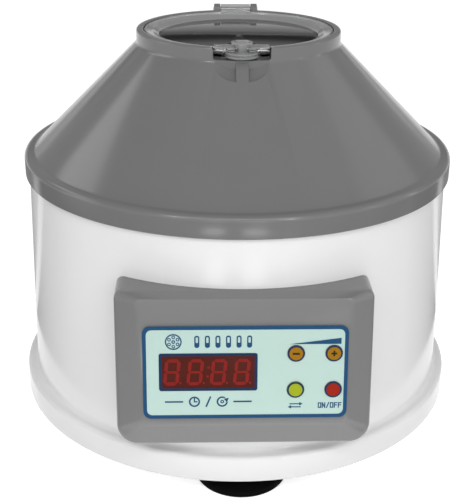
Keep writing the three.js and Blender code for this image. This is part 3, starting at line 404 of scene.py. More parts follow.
# %% Moulded plastics and rubber
WHITE_SHELL = finish("white shell", linear(232, 232, 233), 0.15, mottle=0.012, mottle_size=30,
                     wave=0.012, wave_size=26, grain=0.0006, grain_size=0.5, Specular_IOR_Level=0.35)
GREY_COVER = finish("grey cover", linear(114, 114, 114), 0.17, mottle=0.02, mottle_size=25,
                    rough_spread=0.02, wave=0.01, wave_size=22, grain=0.0008, grain_size=0.6)
HOUSING_GREY = finish("housing grey", linear(121, 121, 121), 0.13, mottle=0.02, mottle_size=20,
                      rough_spread=0.02, wave=0.008, wave_size=18, grain=0.0008, grain_size=0.6)
CLEAR_LID = finish("clear lid", linear(226, 227, 227), 0.04, mottle=0.02, rough_spread=0.02,
                   wave=0.006, wave_size=18, Transmission_Weight=1.0, IOR=1.49)
LID_EDGE = finish("clear lid edge", linear(214, 215, 215), 0.14, mottle=0.03, rough_spread=0.03,
                  wave=0.004, wave_size=12, Transmission_Weight=0.62, IOR=1.49)
CLEAR_KNOB = finish("clear knob", linear(176, 177, 177), 0.08, mottle=0.02, rough_spread=0.03,
                    Transmission_Weight=0.5, IOR=1.49)
RUBBER = finish("black rubber", (0.0015, 0.0015, 0.0015), 0.6, mottle=0.3, mottle_size=6,
                rough_spread=0.1, grain=0.012, grain_size=0.4, Specular_IOR_Level=0.05)
BLACK_MOULD = finish("black moulding", (0.018, 0.018, 0.019), 0.42, mottle=0.15, mottle_size=5,
                     rough_spread=0.06, grain=0.006, grain_size=0.35)
print("materials so far, with the CAD model's own:", len(bpy.data.materials))

# %% Metals and the boards' laminate
STEEL = finish("bright steel", (0.55, 0.55, 0.57), 0.3, metallic=1.0, mottle=0.06, mottle_size=3,
               rough_spread=0.08, grain=0.002, grain_size=0.3)
ZINC = finish("zinc plate", (0.47, 0.48, 0.49), 0.38, metallic=1.0, mottle=0.1, mottle_size=7,
              rough_spread=0.1, grain=0.003, grain_size=0.8)
SPUN = finish("spun aluminium", (0.6, 0.61, 0.62), 0.36, metallic=1.0, mottle=0.05, mottle_size=4,
              rough_spread=0.1, grain=0.003, grain_size=0.35, stretch=(0.2, 0.2, 1))
LAMINATE = finish("board laminate", (0.012, 0.11, 0.045), 0.38, mottle=0.15, mottle_size=3,
                  grain=0.004, grain_size=0.4)
print("and with metals and laminate:", len(bpy.data.materials))

# %% Printed film, inks, screen and keys
def printed(name, colour, roughness, mottle, mottle_size, grain_size, specular=0.12, grain=0.001):
    """Matt printed plastic with a very fine grain."""
    return finish(name, linear(*colour), roughness, mottle=mottle, mottle_size=mottle_size,
                  grain=grain, grain_size=grain_size, Specular_IOR_Level=specular)


FILM = printed("keypad film", (180, 206, 198), 0.36, 0.015, 9, 0.25, specular=0.35, grain=0.0015)
INK = printed("blue ink", (30, 74, 112), 0.42, 0.06, 1.5, 0.2)
DARK_INK = printed("navy ink", (28, 50, 82), 0.42, 0.08, 1.5, 0.2, specular=0.1)
SIGN_INK = printed("sign ink", (44, 42, 26), 0.45, 0.1, 1.2, 0.2, specular=0.1)
SCREEN = printed("screen film", (78, 27, 18), 0.3, 0.12, 5, 0.5, grain=0.0)
SEGMENT = printed("digit segments", (130, 30, 26), 0.3, 0.08, 1.5, 0.5, grain=0.0)
AMBER = printed("amber key", (154, 108, 10), 0.4, 0.05, 2, 0.3)
LIME = printed("lime key", (154, 167, 30), 0.4, 0.05, 2, 0.3)
RED = printed("red key", (150, 32, 14), 0.4, 0.05, 2, 0.3)
print("and with print and keys:", len(bpy.data.materials))

# %% [markdown]
# ## The drum
# The body of the machine is a white drum, moulded in one piece with a wider skirt at its foot. It
# could be a cylinder with a bevel, but the drum is drafted a few millimetres so that it leaves its
# mould, and the skirt meets it in a soft hollow. So its whole wall is one profile, spun round the
# axis. The profile is closed, with an inside too, because the drum is a shell over the motor.

# %% The drum's profile
DRUM_R = 125.3                      # at the top edge
DRUM_DRAFT = 3.7
STEP_Z = SKIRT_Z + 15.5
WALL = 3.0
LIP_R = 131.5                       # the skirt's lip under the base sheet
SKIRT_WALL = 5.4
LEDGE_R = 112.3                     # the ledge inside the top edge, which carries the bowl
LEDGE_TOP_Z, LEDGE_LOW_Z = DRUM_TOP_Z - 3, DRUM_TOP_Z - 6
FINE_STEPS = 240                    # round the largest pieces


def drum_radius(z):
    return DRUM_R + DRUM_DRAFT * (DRUM_TOP_Z - z) / (DRUM_TOP_Z - SKIRT_Z)


step_r = drum_radius(STEP_Z)
drum_profile = rounded([
    (LIP_R, SKIRT_Z), (SKIRT_R, SKIRT_Z, 1.2), (SKIRT_R - 0.2, STEP_Z, 2.6),
    (step_r + 0.1, STEP_Z + 0.5, 3.0), (DRUM_R, DRUM_TOP_Z, 0.5), (DRUM_R - WALL, DRUM_TOP_Z),
    (DRUM_R - WALL, LEDGE_TOP_Z), (LEDGE_R, LEDGE_TOP_Z), (LEDGE_R, LEDGE_LOW_Z),
    (DRUM_R - WALL, LEDGE_LOW_Z), (step_r - WALL, STEP_Z + 2), (SKIRT_R - SKIRT_WALL, STEP_Z - 4),
    (SKIRT_R - SKIRT_WALL, SKIRT_Z + 3), (LIP_R, SKIRT_Z + 3)], closed=True)
drum = turned("drum_shell", drum_profile, FINE_STEPS)
print("drum profile points", len(drum_profile))

# %% The pad and hole for the mains inlet, and the hole for wires behind the housing
inlet_low, inlet_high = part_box("power_inlet")
INLET_Z = (inlet_low.z + inlet_high.z) / 2 / MM
PAD_Y = inlet_high.y / MM - 2.7
PAD_HALF = (30, 22)
HOLE_HALF = (22.3, 15.8)
WIRE_HALF, WIRE_LOW_Z, WIRE_HIGH_Z = 40, SKIRT_Z + 50, SKIRT_Z + 98
combined(drum, block("pad", (-PAD_HALF[0], PAD_Y - 8, INLET_Z - PAD_HALF[1]),
                     (PAD_HALF[0], PAD_Y, INLET_Z + PAD_HALF[1]), 2.0), "UNION")
combined(drum, block("hole", (-HOLE_HALF[0], PAD_Y - 20, INLET_Z - HOLE_HALF[1]),
                     (HOLE_HALF[0], PAD_Y + 5, INLET_Z + HOLE_HALF[1]), 0.5))
combined(drum, block("wires", (-WIRE_HALF, -150, WIRE_LOW_Z), (WIRE_HALF, -92, WIRE_HIGH_Z), 2))
settle(drum, "body", WHITE_SHELL, "white_shell", "main_shell")
print("drum faces", len(drum.data.polygons))

# %% [markdown]
# ## The grey cover
# The top is a second moulding in mid grey: a rim that laps over the drum, a soft shoulder, a long cone
# and a short neck that holds the lid. Spinning one profile gives all of that at once. What isn't round
# is added or cut afterwards with boolean tools: the ears for the hinge, the notch for the lid's
# tongue, the slot for the latch, and the oval finger scoop with its rib.

# %% The cover's profile
RIM_LOW_Z = cover_low.z / MM
RIM_WALL, COVER_WALL = 2, 4
SHELF_Z = RIM_LOW_Z + 11.2
SHOULDER_LIFT = 1.2     # the rim's soft shoulder stands a little above the line where the cone starts
CONE_R, NECK_R, CONE_RISE = 122.4, 59.8, 62.3
NECK_LOW_Z = SHELF_Z + 63.3
NECK_TOP_Z = NECK_LOW_Z + 7.7
SEAT_Z = NECK_TOP_Z - 2.6
SEAT_R, THROAT_R = 55.7, 50.4
THROAT_LOW_Z = SEAT_Z - 5.8
CONE_SLOPE = (CONE_R - NECK_R) / CONE_RISE


def inner_cone(z):
    return CONE_R + (SHELF_Z + 1 - z) * CONE_SLOPE - COVER_WALL * math.hypot(1, CONE_SLOPE)


cover_profile = rounded([
    (RIM_R - RIM_WALL, RIM_LOW_Z), (RIM_R, RIM_LOW_Z, 0.6), (RIM_R, SHELF_Z + SHOULDER_LIFT, 3.4),
    (CONE_R + 0.9 - SHOULDER_LIFT * CONE_SLOPE, SHELF_Z + SHOULDER_LIFT, 1.5),
    (NECK_R, NECK_LOW_Z, 3.0), (NECK_R, NECK_TOP_Z, 1.1), (SEAT_R, NECK_TOP_Z, 0.4),
    (SEAT_R, SEAT_Z), (THROAT_R, SEAT_Z, 0.4), (THROAT_R, THROAT_LOW_Z),
    (inner_cone(THROAT_LOW_Z), THROAT_LOW_Z), (inner_cone(DRUM_TOP_Z + 3), DRUM_TOP_Z + 3),
    (inner_cone(DRUM_TOP_Z + 3), DRUM_TOP_Z), (RIM_R - RIM_WALL, DRUM_TOP_Z)], closed=True)
cover = turned("cone_cover", cover_profile, FINE_STEPS)
print("cone leans", round(math.degrees(math.atan(1 / CONE_SLOPE)), 1), "degrees")

# %% The finger scoop and its rib, both lying on the cone in front of the neck
SCOOP_HALF = (16, 12.3, 2.7)
SCOOP_ROWS, SCOOP_STEPS = 32, 64
RIB_LOW, RIB_HIGH = (-3.45, -15, -3.2), (3.45, 0.8, -0.08)
BELOW_NECK, ABOVE_LID = 150, 260    # heights well past everything that is cut
ON_CONE = (Matrix.Translation((0, AXIS_Y - NECK_R, NECK_LOW_Z))
           @ Matrix.Rotation(math.atan2(CONE_RISE, CONE_R - NECK_R), 4, "X"))


def ellipsoid(name, half, matrix):
    rings = []
    for r in range(1, SCOOP_ROWS):
        angle = math.pi * r / SCOOP_ROWS
        turns = [2 * math.pi * k / SCOOP_STEPS for k in range(SCOOP_STEPS)]
        rings.append([matrix @ Vector((half[0] * math.sin(angle) * math.cos(turn),
                                       half[1] * math.sin(angle) * math.sin(turn),
                                       -half[2] * math.cos(angle))) for turn in turns])
    return skinned(name, rings)


scoop = ellipsoid("scoop", SCOOP_HALF, ON_CONE)
keep_neck = [(0, BELOW_NECK), (NECK_R, BELOW_NECK), (NECK_R, ABOVE_LID), (0, ABOVE_LID)]
combined(scoop, turned("keep", keep_neck, FINE_STEPS, closed=False))
rib = moved(block("rib", RIB_LOW, RIB_HIGH, 0.8), ON_CONE)
print("scoop faces", len(scoop.data.polygons))

# %% Where the latch and the hinge stand, and the ears of the hinge
LATCH_Y = AXIS_Y - 53.7
HINGE_Y = AXIS_Y + 62.8
HINGE_Z = NECK_TOP_Z - 0.5
FLOOR_Z = NECK_LOW_Z + 1.1          # the floor of the notch
EAR_R, EAR_THICKNESS, EAR_STEPS = 3.6, 4.1, 12
EARS_X = (-13.7, 9.6)
PIN_BORE_R = 1.9
ACROSS = Matrix.Translation((0, HINGE_Y, HINGE_Z)) @ Matrix.Rotation(math.pi / 2, 4, "Y")


def hinge_ear(x):
    outline = [(HINGE_Y - 6, NECK_LOW_Z - 4), (HINGE_Y + EAR_R, NECK_LOW_Z - 9),
               (HINGE_Y + EAR_R, HINGE_Z)]
    for k in range(1, EAR_STEPS + 1):
        angle = math.pi * k / EAR_STEPS
        outline.append((HINGE_Y + EAR_R * math.cos(angle), HINGE_Z + EAR_R * math.sin(angle)))
    outline += [(HINGE_Y - 6, HINGE_Z)]
    ear = skinned("ear", [[(at, y, z) for y, z in outline] for at in (x, x + EAR_THICKNESS)])
    edges = ear.modifiers.new("edges", "BEVEL")
    edges.width, edges.segments = 0.5 * MM, 3
    edges.limit_method, edges.angle_limit = "ANGLE", math.radians(60)
    edges.harden_normals = False
    return baked(ear)


combined(cover, block("keeper", (-11, AXIS_Y - NECK_R + 1, FLOOR_Z - 5.4),
                      (11, LATCH_Y + 7.4, FLOOR_Z)), "UNION")
for ear_x in EARS_X:
    combined(cover, hinge_ear(ear_x), "UNION")
print("hinge axis at", round(HINGE_Y, 1), round(HINGE_Z, 1))

# %% The cover's cuts: notch, gap for the hinge, slot, scoop and pin hole
NOTCH_HALF, MOUTH_HALF = 15.6, 20
notch_lip_z = NECK_TOP_Z + 0.05
right_side = [(NOTCH_HALF, FLOOR_Z, 1.5), (NOTCH_HALF, notch_lip_z, 2.0), (MOUTH_HALF, notch_lip_z),
              (MOUTH_HALF, 262)]
left_side = [(-entry[0], *entry[1:]) for entry in reversed(right_side)]
notch_line = rounded(left_side + right_side, closed=True)
notch = [[(x, y, z) for x, z in notch_line] for y in (AXIS_Y - 75, AXIS_Y - 46)]
combined(cover, skinned("front", notch))
combined(cover, block("back", (-9.6, AXIS_Y + 46, NECK_LOW_Z + 3.6),
                      (9.6, HINGE_Y + 12, ABOVE_LID), 0.4))
combined(cover, block("slot", (-5.2, LATCH_Y - 2.9, FLOOR_Z - 12),
                      (5.2, LATCH_Y + 2.9, FLOOR_Z + 5), 0.8))
combined(cover, scoop)
combined(cover, rib, "UNION")
pin_line = [(0, -40), (PIN_BORE_R, -40), (PIN_BORE_R, 40), (0, 40)]
combined(cover, moved(turned("pin_hole", pin_line, 32, (0, 0), closed=False), ACROSS))
settle(cover, "body", GREY_COVER, "grey_cover", "top_cover")
print("cover faces", len(cover.data.polygons))

# %% [markdown]
# ## The clear lid
# The lid is a clear moulding: a rim that lies in the neck, a dished slope inside it and a recessed
# window with a low crown. A tongue at the front carries the latch, and an arm at the back ends in the
# knuckle of the hinge. It could be a disc with a glass material, but clear plastic shows every edge
# it has, so the lid gets its full thickness, its slope and its step, and only then a refracting
# finish. Its upper ring has a fine satin texture on top, which is a second material on those faces.

# %% The lid's body
LID_LOW_Z = SEAT_Z + 0.3
LID_TOP_Z = LID_LOW_Z + 1.9
WINDOW_EDGE_Z = LID_TOP_Z - 3.4
WINDOW_LOW_Z = LID_TOP_Z - 5.3
WINDOW_CROWN, CROWN_STEP = 0.9, 4
LID_R, DISH_R, SLOPE_R, WINDOW_R = 55.0, 53.9, 50.2, 46.6
LID_WALL_R = THROAT_R - 0.6
LID_STEPS = 200
crown = [(r, WINDOW_EDGE_Z + WINDOW_CROWN * (1 - (r / WINDOW_R) ** 2))
         for r in range(44, 0, -CROWN_STEP)]
lid_profile = rounded([
    (0, WINDOW_LOW_Z), (LID_WALL_R, WINDOW_LOW_Z, 0.6), (LID_WALL_R, LID_LOW_Z, 0.3),
    (LID_R, LID_LOW_Z, 0.3), (LID_R, LID_TOP_Z, 0.6), (DISH_R, LID_TOP_Z, 1.5),
    (SLOPE_R, LID_TOP_Z - 0.8, 4.0), (WINDOW_R, WINDOW_EDGE_Z, 0.4),
    *crown, (0, WINDOW_EDGE_Z + WINDOW_CROWN)])
lid = turned("lid_window", lid_profile, LID_STEPS, closed=False)
print("lid profile points", len(lid_profile))

# %% Tongue, boss and bore for the latch, and the arm with its knuckle
TONGUE_R, TONGUE_HALF = 57.5, 14.9
BOSS_R, POCKET_R, STEM_HOLE_R = 11.8, 9.8, 4.3
ARM_HALF, KNUCKLE_R = 9.3, 3.3
tongue = disc("tongue", TONGUE_R, LID_LOW_Z, LID_TOP_Z, (0, AXIS_Y), LID_STEPS, 0.5)
combined(tongue, block("sides", (-TONGUE_HALF, AXIS_Y - 60, LID_LOW_Z - 1),
                       (TONGUE_HALF, AXIS_Y - 46.8, LID_TOP_Z + 1)), "INTERSECT")
combined(lid, tongue, "UNION")
boss = disc("boss", BOSS_R, WINDOW_LOW_Z, LID_TOP_Z, (0, LATCH_Y))
inside = disc("inside", LID_WALL_R, WINDOW_LOW_Z - 1, LID_TOP_Z + 1, (0, AXIS_Y), LID_STEPS)
combined(boss, inside, "INTERSECT")
combined(lid, boss, "UNION")
combined(lid, disc("pocket", POCKET_R, WINDOW_LOW_Z - 5, LID_LOW_Z, (0, LATCH_Y)))
combined(lid, disc("stem_hole", STEM_HOLE_R, WINDOW_LOW_Z, LID_TOP_Z + 5, (0, LATCH_Y), 48))
combined(lid, block("arm", (-ARM_HALF, AXIS_Y + 50.8, LID_LOW_Z),
                    (ARM_HALF, HINGE_Y, LID_TOP_Z), 0.4), "UNION")
combined(lid, moved(disc("knuckle", KNUCKLE_R, -ARM_HALF, ARM_HALF, (0, 0), 48, 0.3), ACROSS), "UNION")
combined(lid, moved(disc("pin_bore", PIN_BORE_R, -40, 40, (0, 0), 32), ACROSS))
settle(lid, "lid", CLEAR_LID, "clear_lid", "lid")
lid.data.materials.append(LID_EDGE)
satin = 0
for face in lid.data.polygons:
    away = math.hypot(face.center.x, face.center.y - AXIS_Y * MM) / MM
    if away > WINDOW_R and face.center.z / MM > WINDOW_EDGE_Z and face.normal.z > 0.5:
        face.material_index = 1
        satin += 1
print("lid faces", len(lid.data.polygons), "of them satin", satin)

# %% The hinge pin
PIN_R, PIN_HALF = 1.6, 14.2
pin = disc("hinge_rod", PIN_R, -PIN_HALF, PIN_HALF, (0, 0), 32, 0.4)
settle(moved(pin, ACROSS), "body", STEEL, "shaft_steel", "hinge_pin")
print("pin length", 2 * PIN_HALF)

# %% [markdown]
# ## The latch
# A quarter turn of the small clear T-bar moves a steel cam under the cover's keeper. The bar stands on
# a stem that passes through a grooved disc under the lid's tongue. One mesh with one clear finish
# would look like a lump, so each is a turned or moulded piece of its own, in a clear plastic that is
# a little milkier than the lid, and light bends at every step between them.

# %% Grip, disc and cam
DISC_LOW_Z = SEAT_Z - 3.0
GRIP_LOW_Z = LID_TOP_Z + 0.3
GRIP_TOP_Z = LID_TOP_Z + 3.4
RING_R, RING_HIGH, GROOVE_R = 9.2, 3, 8.3
CAM_LENGTH, CAM_WIDTH, CAM_HEIGHT, CAM_SHAFT_R = 8.6, 3.6, 2.8, 1.7
GRIP_PLATES = (     # width, depth, corner, low, high and edge of each step of the T-bar
    (8.1, 5.6, 1.2, GRIP_LOW_Z, GRIP_TOP_Z - 1.2, 0.2),
    (11.4, 6.4, 1.6, GRIP_TOP_Z - 1.9, GRIP_TOP_Z - 0.6, 0.45),
    (7.4, 4.4, 1.2, GRIP_TOP_Z - 1, GRIP_TOP_Z, 0.35))


def bar_plate(name, width, depth, corner, low, high, edge):
    outline = [(x, y + LATCH_Y) for x, y in rounded_rectangle(width, depth, corner)]
    return prism(name, outline, low, high, edge)


grip = disc("latch_grip", 4, DISC_LOW_Z, GRIP_TOP_Z - 1, (0, LATCH_Y), 64, 0.2)
for plate in GRIP_PLATES:
    combined(grip, bar_plate("step", *plate), "UNION")
combined(grip, disc("cam_bore", 2.0, DISC_LOW_Z - 1, DISC_LOW_Z + 3, (0, LATCH_Y), 32))
settle(grip, "latch", CLEAR_KNOB, "clear_knob", "latch_knob")
ring = turned("latch_ring", rounded([
    (STEM_HOLE_R, DISC_LOW_Z), (RING_R, DISC_LOW_Z, 0.3), (RING_R, DISC_LOW_Z + 1.2, 0.2),
    (GROOVE_R, DISC_LOW_Z + 1.5, 0.2), (RING_R, DISC_LOW_Z + 1.8, 0.2),
    (RING_R, DISC_LOW_Z + RING_HIGH, 0.3), (STEM_HOLE_R, DISC_LOW_Z + RING_HIGH)], closed=True), 96,
    (0, LATCH_Y))
settle(ring, "latch", CLEAR_KNOB, "clear_knob", "latch_disc")
cam_low, cam_high = [corner.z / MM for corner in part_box("latch_cam")]
cam = bar_plate("steel_cam", CAM_LENGTH, CAM_WIDTH, 1.0, cam_low, cam_low + CAM_HEIGHT, 0.3)
combined(cam, disc("shaft", CAM_SHAFT_R, cam_low + 1, cam_high, (0, LATCH_Y), 32), "UNION")
settle(cam, "latch", STEEL, "shaft_steel", "latch_cam")
print("grip stands", round(GRIP_TOP_Z - LID_TOP_Z, 1), "above the lid")

# %% [markdown]
# ## The control housing
# The housing is a grey box that grows out of the drum, with a sloping border round a flat, tilted face.
# A box with a bevel would have the same border on all four sides, but here the top one is narrow, the
# bottom one is broad, and the sides come in a little towards the bottom. So the housing is skinned over
# a stack of rings, each at its own depth, and the rings crowd together where the border turns into the
# face. Its back is cut by the drum itself.

# %% The plane of the tilted face
TILT = math.radians(8)
FACE_Z = SKIRT_Z + 60
FACE_Y = AXIS_Y - (drum_radius(FACE_Z) + 14.49)
TO_PANEL = Matrix.Translation((0, FACE_Y, FACE_Z)) @ Matrix.Rotation(math.pi / 2 - TILT, 4, "X")
FACE_TOP = (SKIRT_Z + 113 - FACE_Z) / math.cos(TILT)     # from the plane's origin, along the face
FACE_LENGTH = 84.7 / math.cos(TILT)
HOUSING_W = 134.6
print("face leans back", round(math.degrees(TILT)), "degrees, length", round(FACE_LENGTH, 1))

# %% A ring of the housing
TOP_BORDER, BOTTOM_BORDER, SIDE_BORDER, LOW_SIDE_BORDER = 1.6, 15.7, 11.7, 14.3
TOP_CORNER, BOTTOM_CORNER, FACE_CORNER = 5.0, 11.0, 3.0
CORNER_STEPS, SIDE_STEPS = 10, 6


def housing_ring(z, share, past=0.0, top_past=0.0):
    """A ring at height z. share is how much of the border lies outside it; past and top_past are
    how far it lies inside the fold."""
    half = HOUSING_W / 2 - SIDE_BORDER * share - past
    slant = (LOW_SIDE_BORDER - SIDE_BORDER) * share
    high = FACE_TOP - TOP_BORDER * share - top_past
    low = FACE_TOP - FACE_LENGTH + BOTTOM_BORDER * share + past
    ring = []
    for sx, sy, start in ((1, 1, 0), (-1, 1, 90), (-1, -1, 180), (1, -1, 270)):
        outer = TOP_CORNER if sy > 0 else BOTTOM_CORNER
        corner = outer + (FACE_CORNER - outer) * share
        cx, cy = sx * (half - corner), high - corner if sy > 0 else low + corner
        for k in range(CORNER_STEPS + 1):
            angle = math.radians(start + 90 * k / CORNER_STEPS)
            x, y = cx + corner * math.cos(angle), cy + corner * math.sin(angle)
            x *= 1 - slant / half * (high - y) / (high - low)
            ring.append(Vector((x, y - z * math.tan(TILT), z)))
    full = []
    for i, here in enumerate(ring):
        full.append(here)
        if (i + 1) % (CORNER_STEPS + 1) == 0:
            there = ring[(i + 1) % len(ring)]
            full += [here.lerp(there, (k + 1) / (SIDE_STEPS + 1)) for k in range(SIDE_STEPS)]
    return full


print("points in a ring:", len(housing_ring(0, 1)))

# %% The housing as a stack of rings, hollowed out and cut by the drum
BORDER_DEPTH = 6.6
BEND_STEPS = 8
OUTER_BEND, OUTER_SHARE, FOLD_SHARE = 2.4, 0.17, 0.1
FOLD_REACH, TOP_FOLD_REACH = 2.2, 0.5
HOUSING_WALL, DRUM_GAP = 2.6, 0.15
BACK_DEPTH = 60                     # well inside the drum


def bend(a, b, c, t):
    """A point on the soft corner from a to c that would come to a point at b."""
    return a * (1 - t) ** 2 + b * 2 * t * (1 - t) + c * t ** 2


rings = [housing_ring(-BACK_DEPTH, 0)]
for k in range(BEND_STEPS + 1):
    t = k / BEND_STEPS
    z = bend(-BORDER_DEPTH - OUTER_BEND, -BORDER_DEPTH, -BORDER_DEPTH * (1 - OUTER_SHARE), t)
    rings.append(housing_ring(z, bend(0, 0, OUTER_SHARE, t)))
for k in range(BEND_STEPS + 1):
    t = k / BEND_STEPS
    rings.append(housing_ring(bend(-BORDER_DEPTH * FOLD_SHARE, 0, 0, t), bend(1 - FOLD_SHARE, 1, 1, t),
                              FOLD_REACH * t ** 2, TOP_FOLD_REACH * t ** 2))
housing = moved(skinned("panel_housing", rings), TO_PANEL)
hollow = [housing_ring(-66, 0, HOUSING_WALL, HOUSING_WALL),
          housing_ring(-11, 0, HOUSING_WALL, HOUSING_WALL), housing_ring(-2.7, 1, 0.4, HOUSING_WALL)]
combined(housing, moved(skinned("hollow", hollow), TO_PANEL))
tool_low_z = SKIRT_Z - 5
drum_tool = [(0, tool_low_z), (drum_radius(tool_low_z) + DRUM_GAP, tool_low_z),
             (DRUM_R + DRUM_GAP, DRUM_TOP_Z), (0, DRUM_TOP_Z)]
combined(housing, turned("drum_tool", drum_tool, 360, closed=False))
print("housing faces", len(housing.data.polygons))

# %% Where the display and the keys are, and their holes in the housing
PAD_W, PAD_H = 105.8, 50.5
PAD_X, PAD_TOP = 0.35, FACE_TOP - 15.8
PAD_LEFT, PAD_MIDDLE = PAD_X - PAD_W / 2, PAD_TOP - PAD_H / 2
SCREEN_W, SCREEN_H = 50.4, 20.2
SCREEN_X, SCREEN_Y = PAD_LEFT + 8.5 + SCREEN_W / 2, PAD_TOP - 14.75 - SCREEN_H / 2
SCREEN_MIDDLE = (SCREEN_X, SCREEN_Y)
KEY_R = 4.3
KEY_COLUMNS, KEY_ROWS = (PAD_LEFT + 78.9, PAD_LEFT + 98.5), (PAD_TOP - 14.95, PAD_TOP - 34.9)
KEY_PLACES = {"minus": (KEY_COLUMNS[0], KEY_ROWS[0]), "plus": (KEY_COLUMNS[1], KEY_ROWS[0]),
              "select": (KEY_COLUMNS[0], KEY_ROWS[1]), "power": (KEY_COLUMNS[1], KEY_ROWS[1])}
THROUGH_LOW, THROUGH_HIGH = -8, 5   # past both sides of the housing's face


def on_panel(piece):
    return moved(piece, TO_PANEL)


def flat_plate(name, middle, size, corner, low, high, edge=0.0):
    return on_panel(prism(name, rounded_rectangle(size[0], size[1], corner, middle), low, high, edge))


combined(housing, flat_plate("view", SCREEN_MIDDLE, (SCREEN_W - 3, SCREEN_H - 3), 1,
                             THROUGH_LOW, THROUGH_HIGH))
for place in KEY_PLACES.values():
    combined(housing, on_panel(disc("key_hole", KEY_R - 0.6, THROUGH_LOW, THROUGH_HIGH, place, 48)))
settle(housing, "body", HOUSING_GREY, "grey_cover", "control_housing")
print("housing faces with its holes", len(housing.data.polygons))

# %% [markdown]
# ## Keypad
# The keypad is a printed film: pale mint, with a blue border, a dark red window over the digits, four
# round keys and a few plain signs. Print has no thickness to speak of, but a picture mapped on the
# film would blur, so each printed mark is a flat solid a few hundredths of a millimetre proud of it.

# %% Film and border
FILM_LOW, FILM_TOP = 0.3, 0.9
PRINT = 0.05
BAND = 1.9
FILM_CORNER, BAND_CORNER = 4, 2.8
PAD_CENTRE = (PAD_X, PAD_MIDDLE)
BELOW, ABOVE = -3, 5                # past both faces of whatever is cut
film = flat_plate("keypad_film", PAD_CENTRE, (PAD_W, PAD_H), FILM_CORNER, FILM_LOW, FILM_TOP, 0.15)
combined(film, flat_plate("view", SCREEN_MIDDLE, (SCREEN_W, SCREEN_H), 0.6, BELOW, ABOVE))
for place in KEY_PLACES.values():
    combined(film, on_panel(disc("key_hole", KEY_R + 0.3, BELOW, ABOVE, place, 64)))
settle(film, "body", FILM, "keypad_film", "keypad_overlay")
frame_band = flat_plate("keypad_border", PAD_CENTRE, (PAD_W + 0.04, PAD_H + 0.04), FILM_CORNER,
                        FILM_TOP - 0.3, FILM_TOP + PRINT)
combined(frame_band, flat_plate("inside", PAD_CENTRE, (PAD_W - 2 * BAND, PAD_H - 2 * BAND),
                                BAND_CORNER, BELOW, ABOVE))
settle(frame_band, "body", INK, "keypad_film")
print("film", PAD_W, "by", PAD_H, "with", len(KEY_PLACES), "holes for keys")

# %% Screen and its frame
SCREEN_GAP, FRAME_OVER, FRAME_IN = 0.5, 0.4, 2.6
screen = flat_plate("screen_window", SCREEN_MIDDLE, (SCREEN_W - SCREEN_GAP, SCREEN_H - SCREEN_GAP),
                    0.5, FILM_LOW, FILM_TOP + 0.1, 0.08)
settle(screen, "body", SCREEN, "display_film", "display_window")
band = flat_plate("screen_frame", SCREEN_MIDDLE, (SCREEN_W + FRAME_OVER, SCREEN_H + FRAME_OVER), 1.2,
                  FILM_TOP - 0.02, FILM_TOP + 0.16)
combined(band, flat_plate("inside", SCREEN_MIDDLE, (SCREEN_W - FRAME_IN, SCREEN_H - FRAME_IN),
                          0.4, BELOW, ABOVE))
settle(band, "body", DARK_INK, "keypad_film")
print("screen", SCREEN_W, "by", SCREEN_H)

# %% Digits: each bar of a seven-bar digit is a pointed strip
DIGIT_W, DIGIT_H, BAR, PITCH = 6.3, 12.6, 1.75, 12.0
MIDDLE_BAR = BAR * 0.7
SLANT = math.tan(math.radians(6.5))
BARS = [((-1, 1), (1, 1)), ((1, 1), (1, 0)), ((1, 0), (1, -1)), ((1, -1), (-1, -1)),
        ((-1, -1), (-1, 0)), ((-1, 0), (-1, 1)), ((-1, 0), (1, 0))]
DIGITS_X = SCREEN_X - 0.7
DIGIT_LOW, DIGIT_TOP = FILM_TOP + 0.08, FILM_TOP + 0.16
POINT_R, COLON_R, COLON_Y = 0.6, 0.7, (-2.4, 2.6)


def strip(start, end, width, low, high):
    """A flat bar with pointed ends between two places, left a little short of both."""
    start, end = Vector(start), Vector(end)
    along = (end - start).normalized()
    side = Vector((-along.y, along.x)) * width / 2
    a, b = start + along * 0.1 * width, end - along * 0.1 * width
    tip = along * width / 2
    outline = [a, a + tip + side, b - tip + side, b, b - tip - side, a + tip - side]
    return slab("bar", outline, low, high)


digit_parts = []
for n in range(4):
    cx = DIGITS_X + (n - 1.5) * PITCH
    for ends in BARS:
        a, b = [(cx + px * DIGIT_W / 2 + py * SLANT * DIGIT_H / 2, SCREEN_Y + py * DIGIT_H / 2)
                for px, py in ends]
        width = MIDDLE_BAR if ends[0][1] == ends[1][1] == 0 else BAR
        digit_parts.append(strip(a, b, width, DIGIT_LOW, DIGIT_TOP))
    point = (cx + DIGIT_W / 2 + 1.2, SCREEN_Y - DIGIT_H / 2 + 0.3)
    digit_parts.append(disc("dot", POINT_R, DIGIT_LOW, DIGIT_TOP, point, 20))
for y in COLON_Y:
    colon = (DIGITS_X + 0.6 + y * SLANT, SCREEN_Y + y)
    digit_parts.append(disc("dot", COLON_R, DIGIT_LOW, DIGIT_TOP, colon, 20))
print("bars and dots:", len(digit_parts))
settle(on_panel(joined("screen_digits", digit_parts)), "body", SEGMENT, "display_film")

# %% Drawing signs: straight strokes, rings and arrow heads, all joined into one flat solid
SIGN_LOW, SIGN_TOP = FILM_TOP - 0.02, FILM_TOP + PRINT


def stroke(start, end, width, low=SIGN_LOW, high=SIGN_TOP):
    start, end = Vector(start), Vector(end)
    side = (end - start).normalized().yx * width / 2
    side.x = -side.x
    return slab("stroke", [start - side, end - side, end + side, start + side], low, high)


def hoop(centre, radius, width, steps=48):
    inner, outer = radius - width / 2, radius + width / 2
    return turned("hoop", [(inner, SIGN_LOW), (outer, SIGN_LOW), (outer, SIGN_TOP), (inner, SIGN_TOP)],
                  steps, centre)


def arrow_head(tip, along, size):
    tip, along = Vector(tip), Vector(along).normalized()
    side = Vector((-along.y, along.x)) * size / 2
    foot = tip - along * size * 0.9
    return slab("head", [tip, foot + side, foot - side], SIGN_LOW, SIGN_TOP)


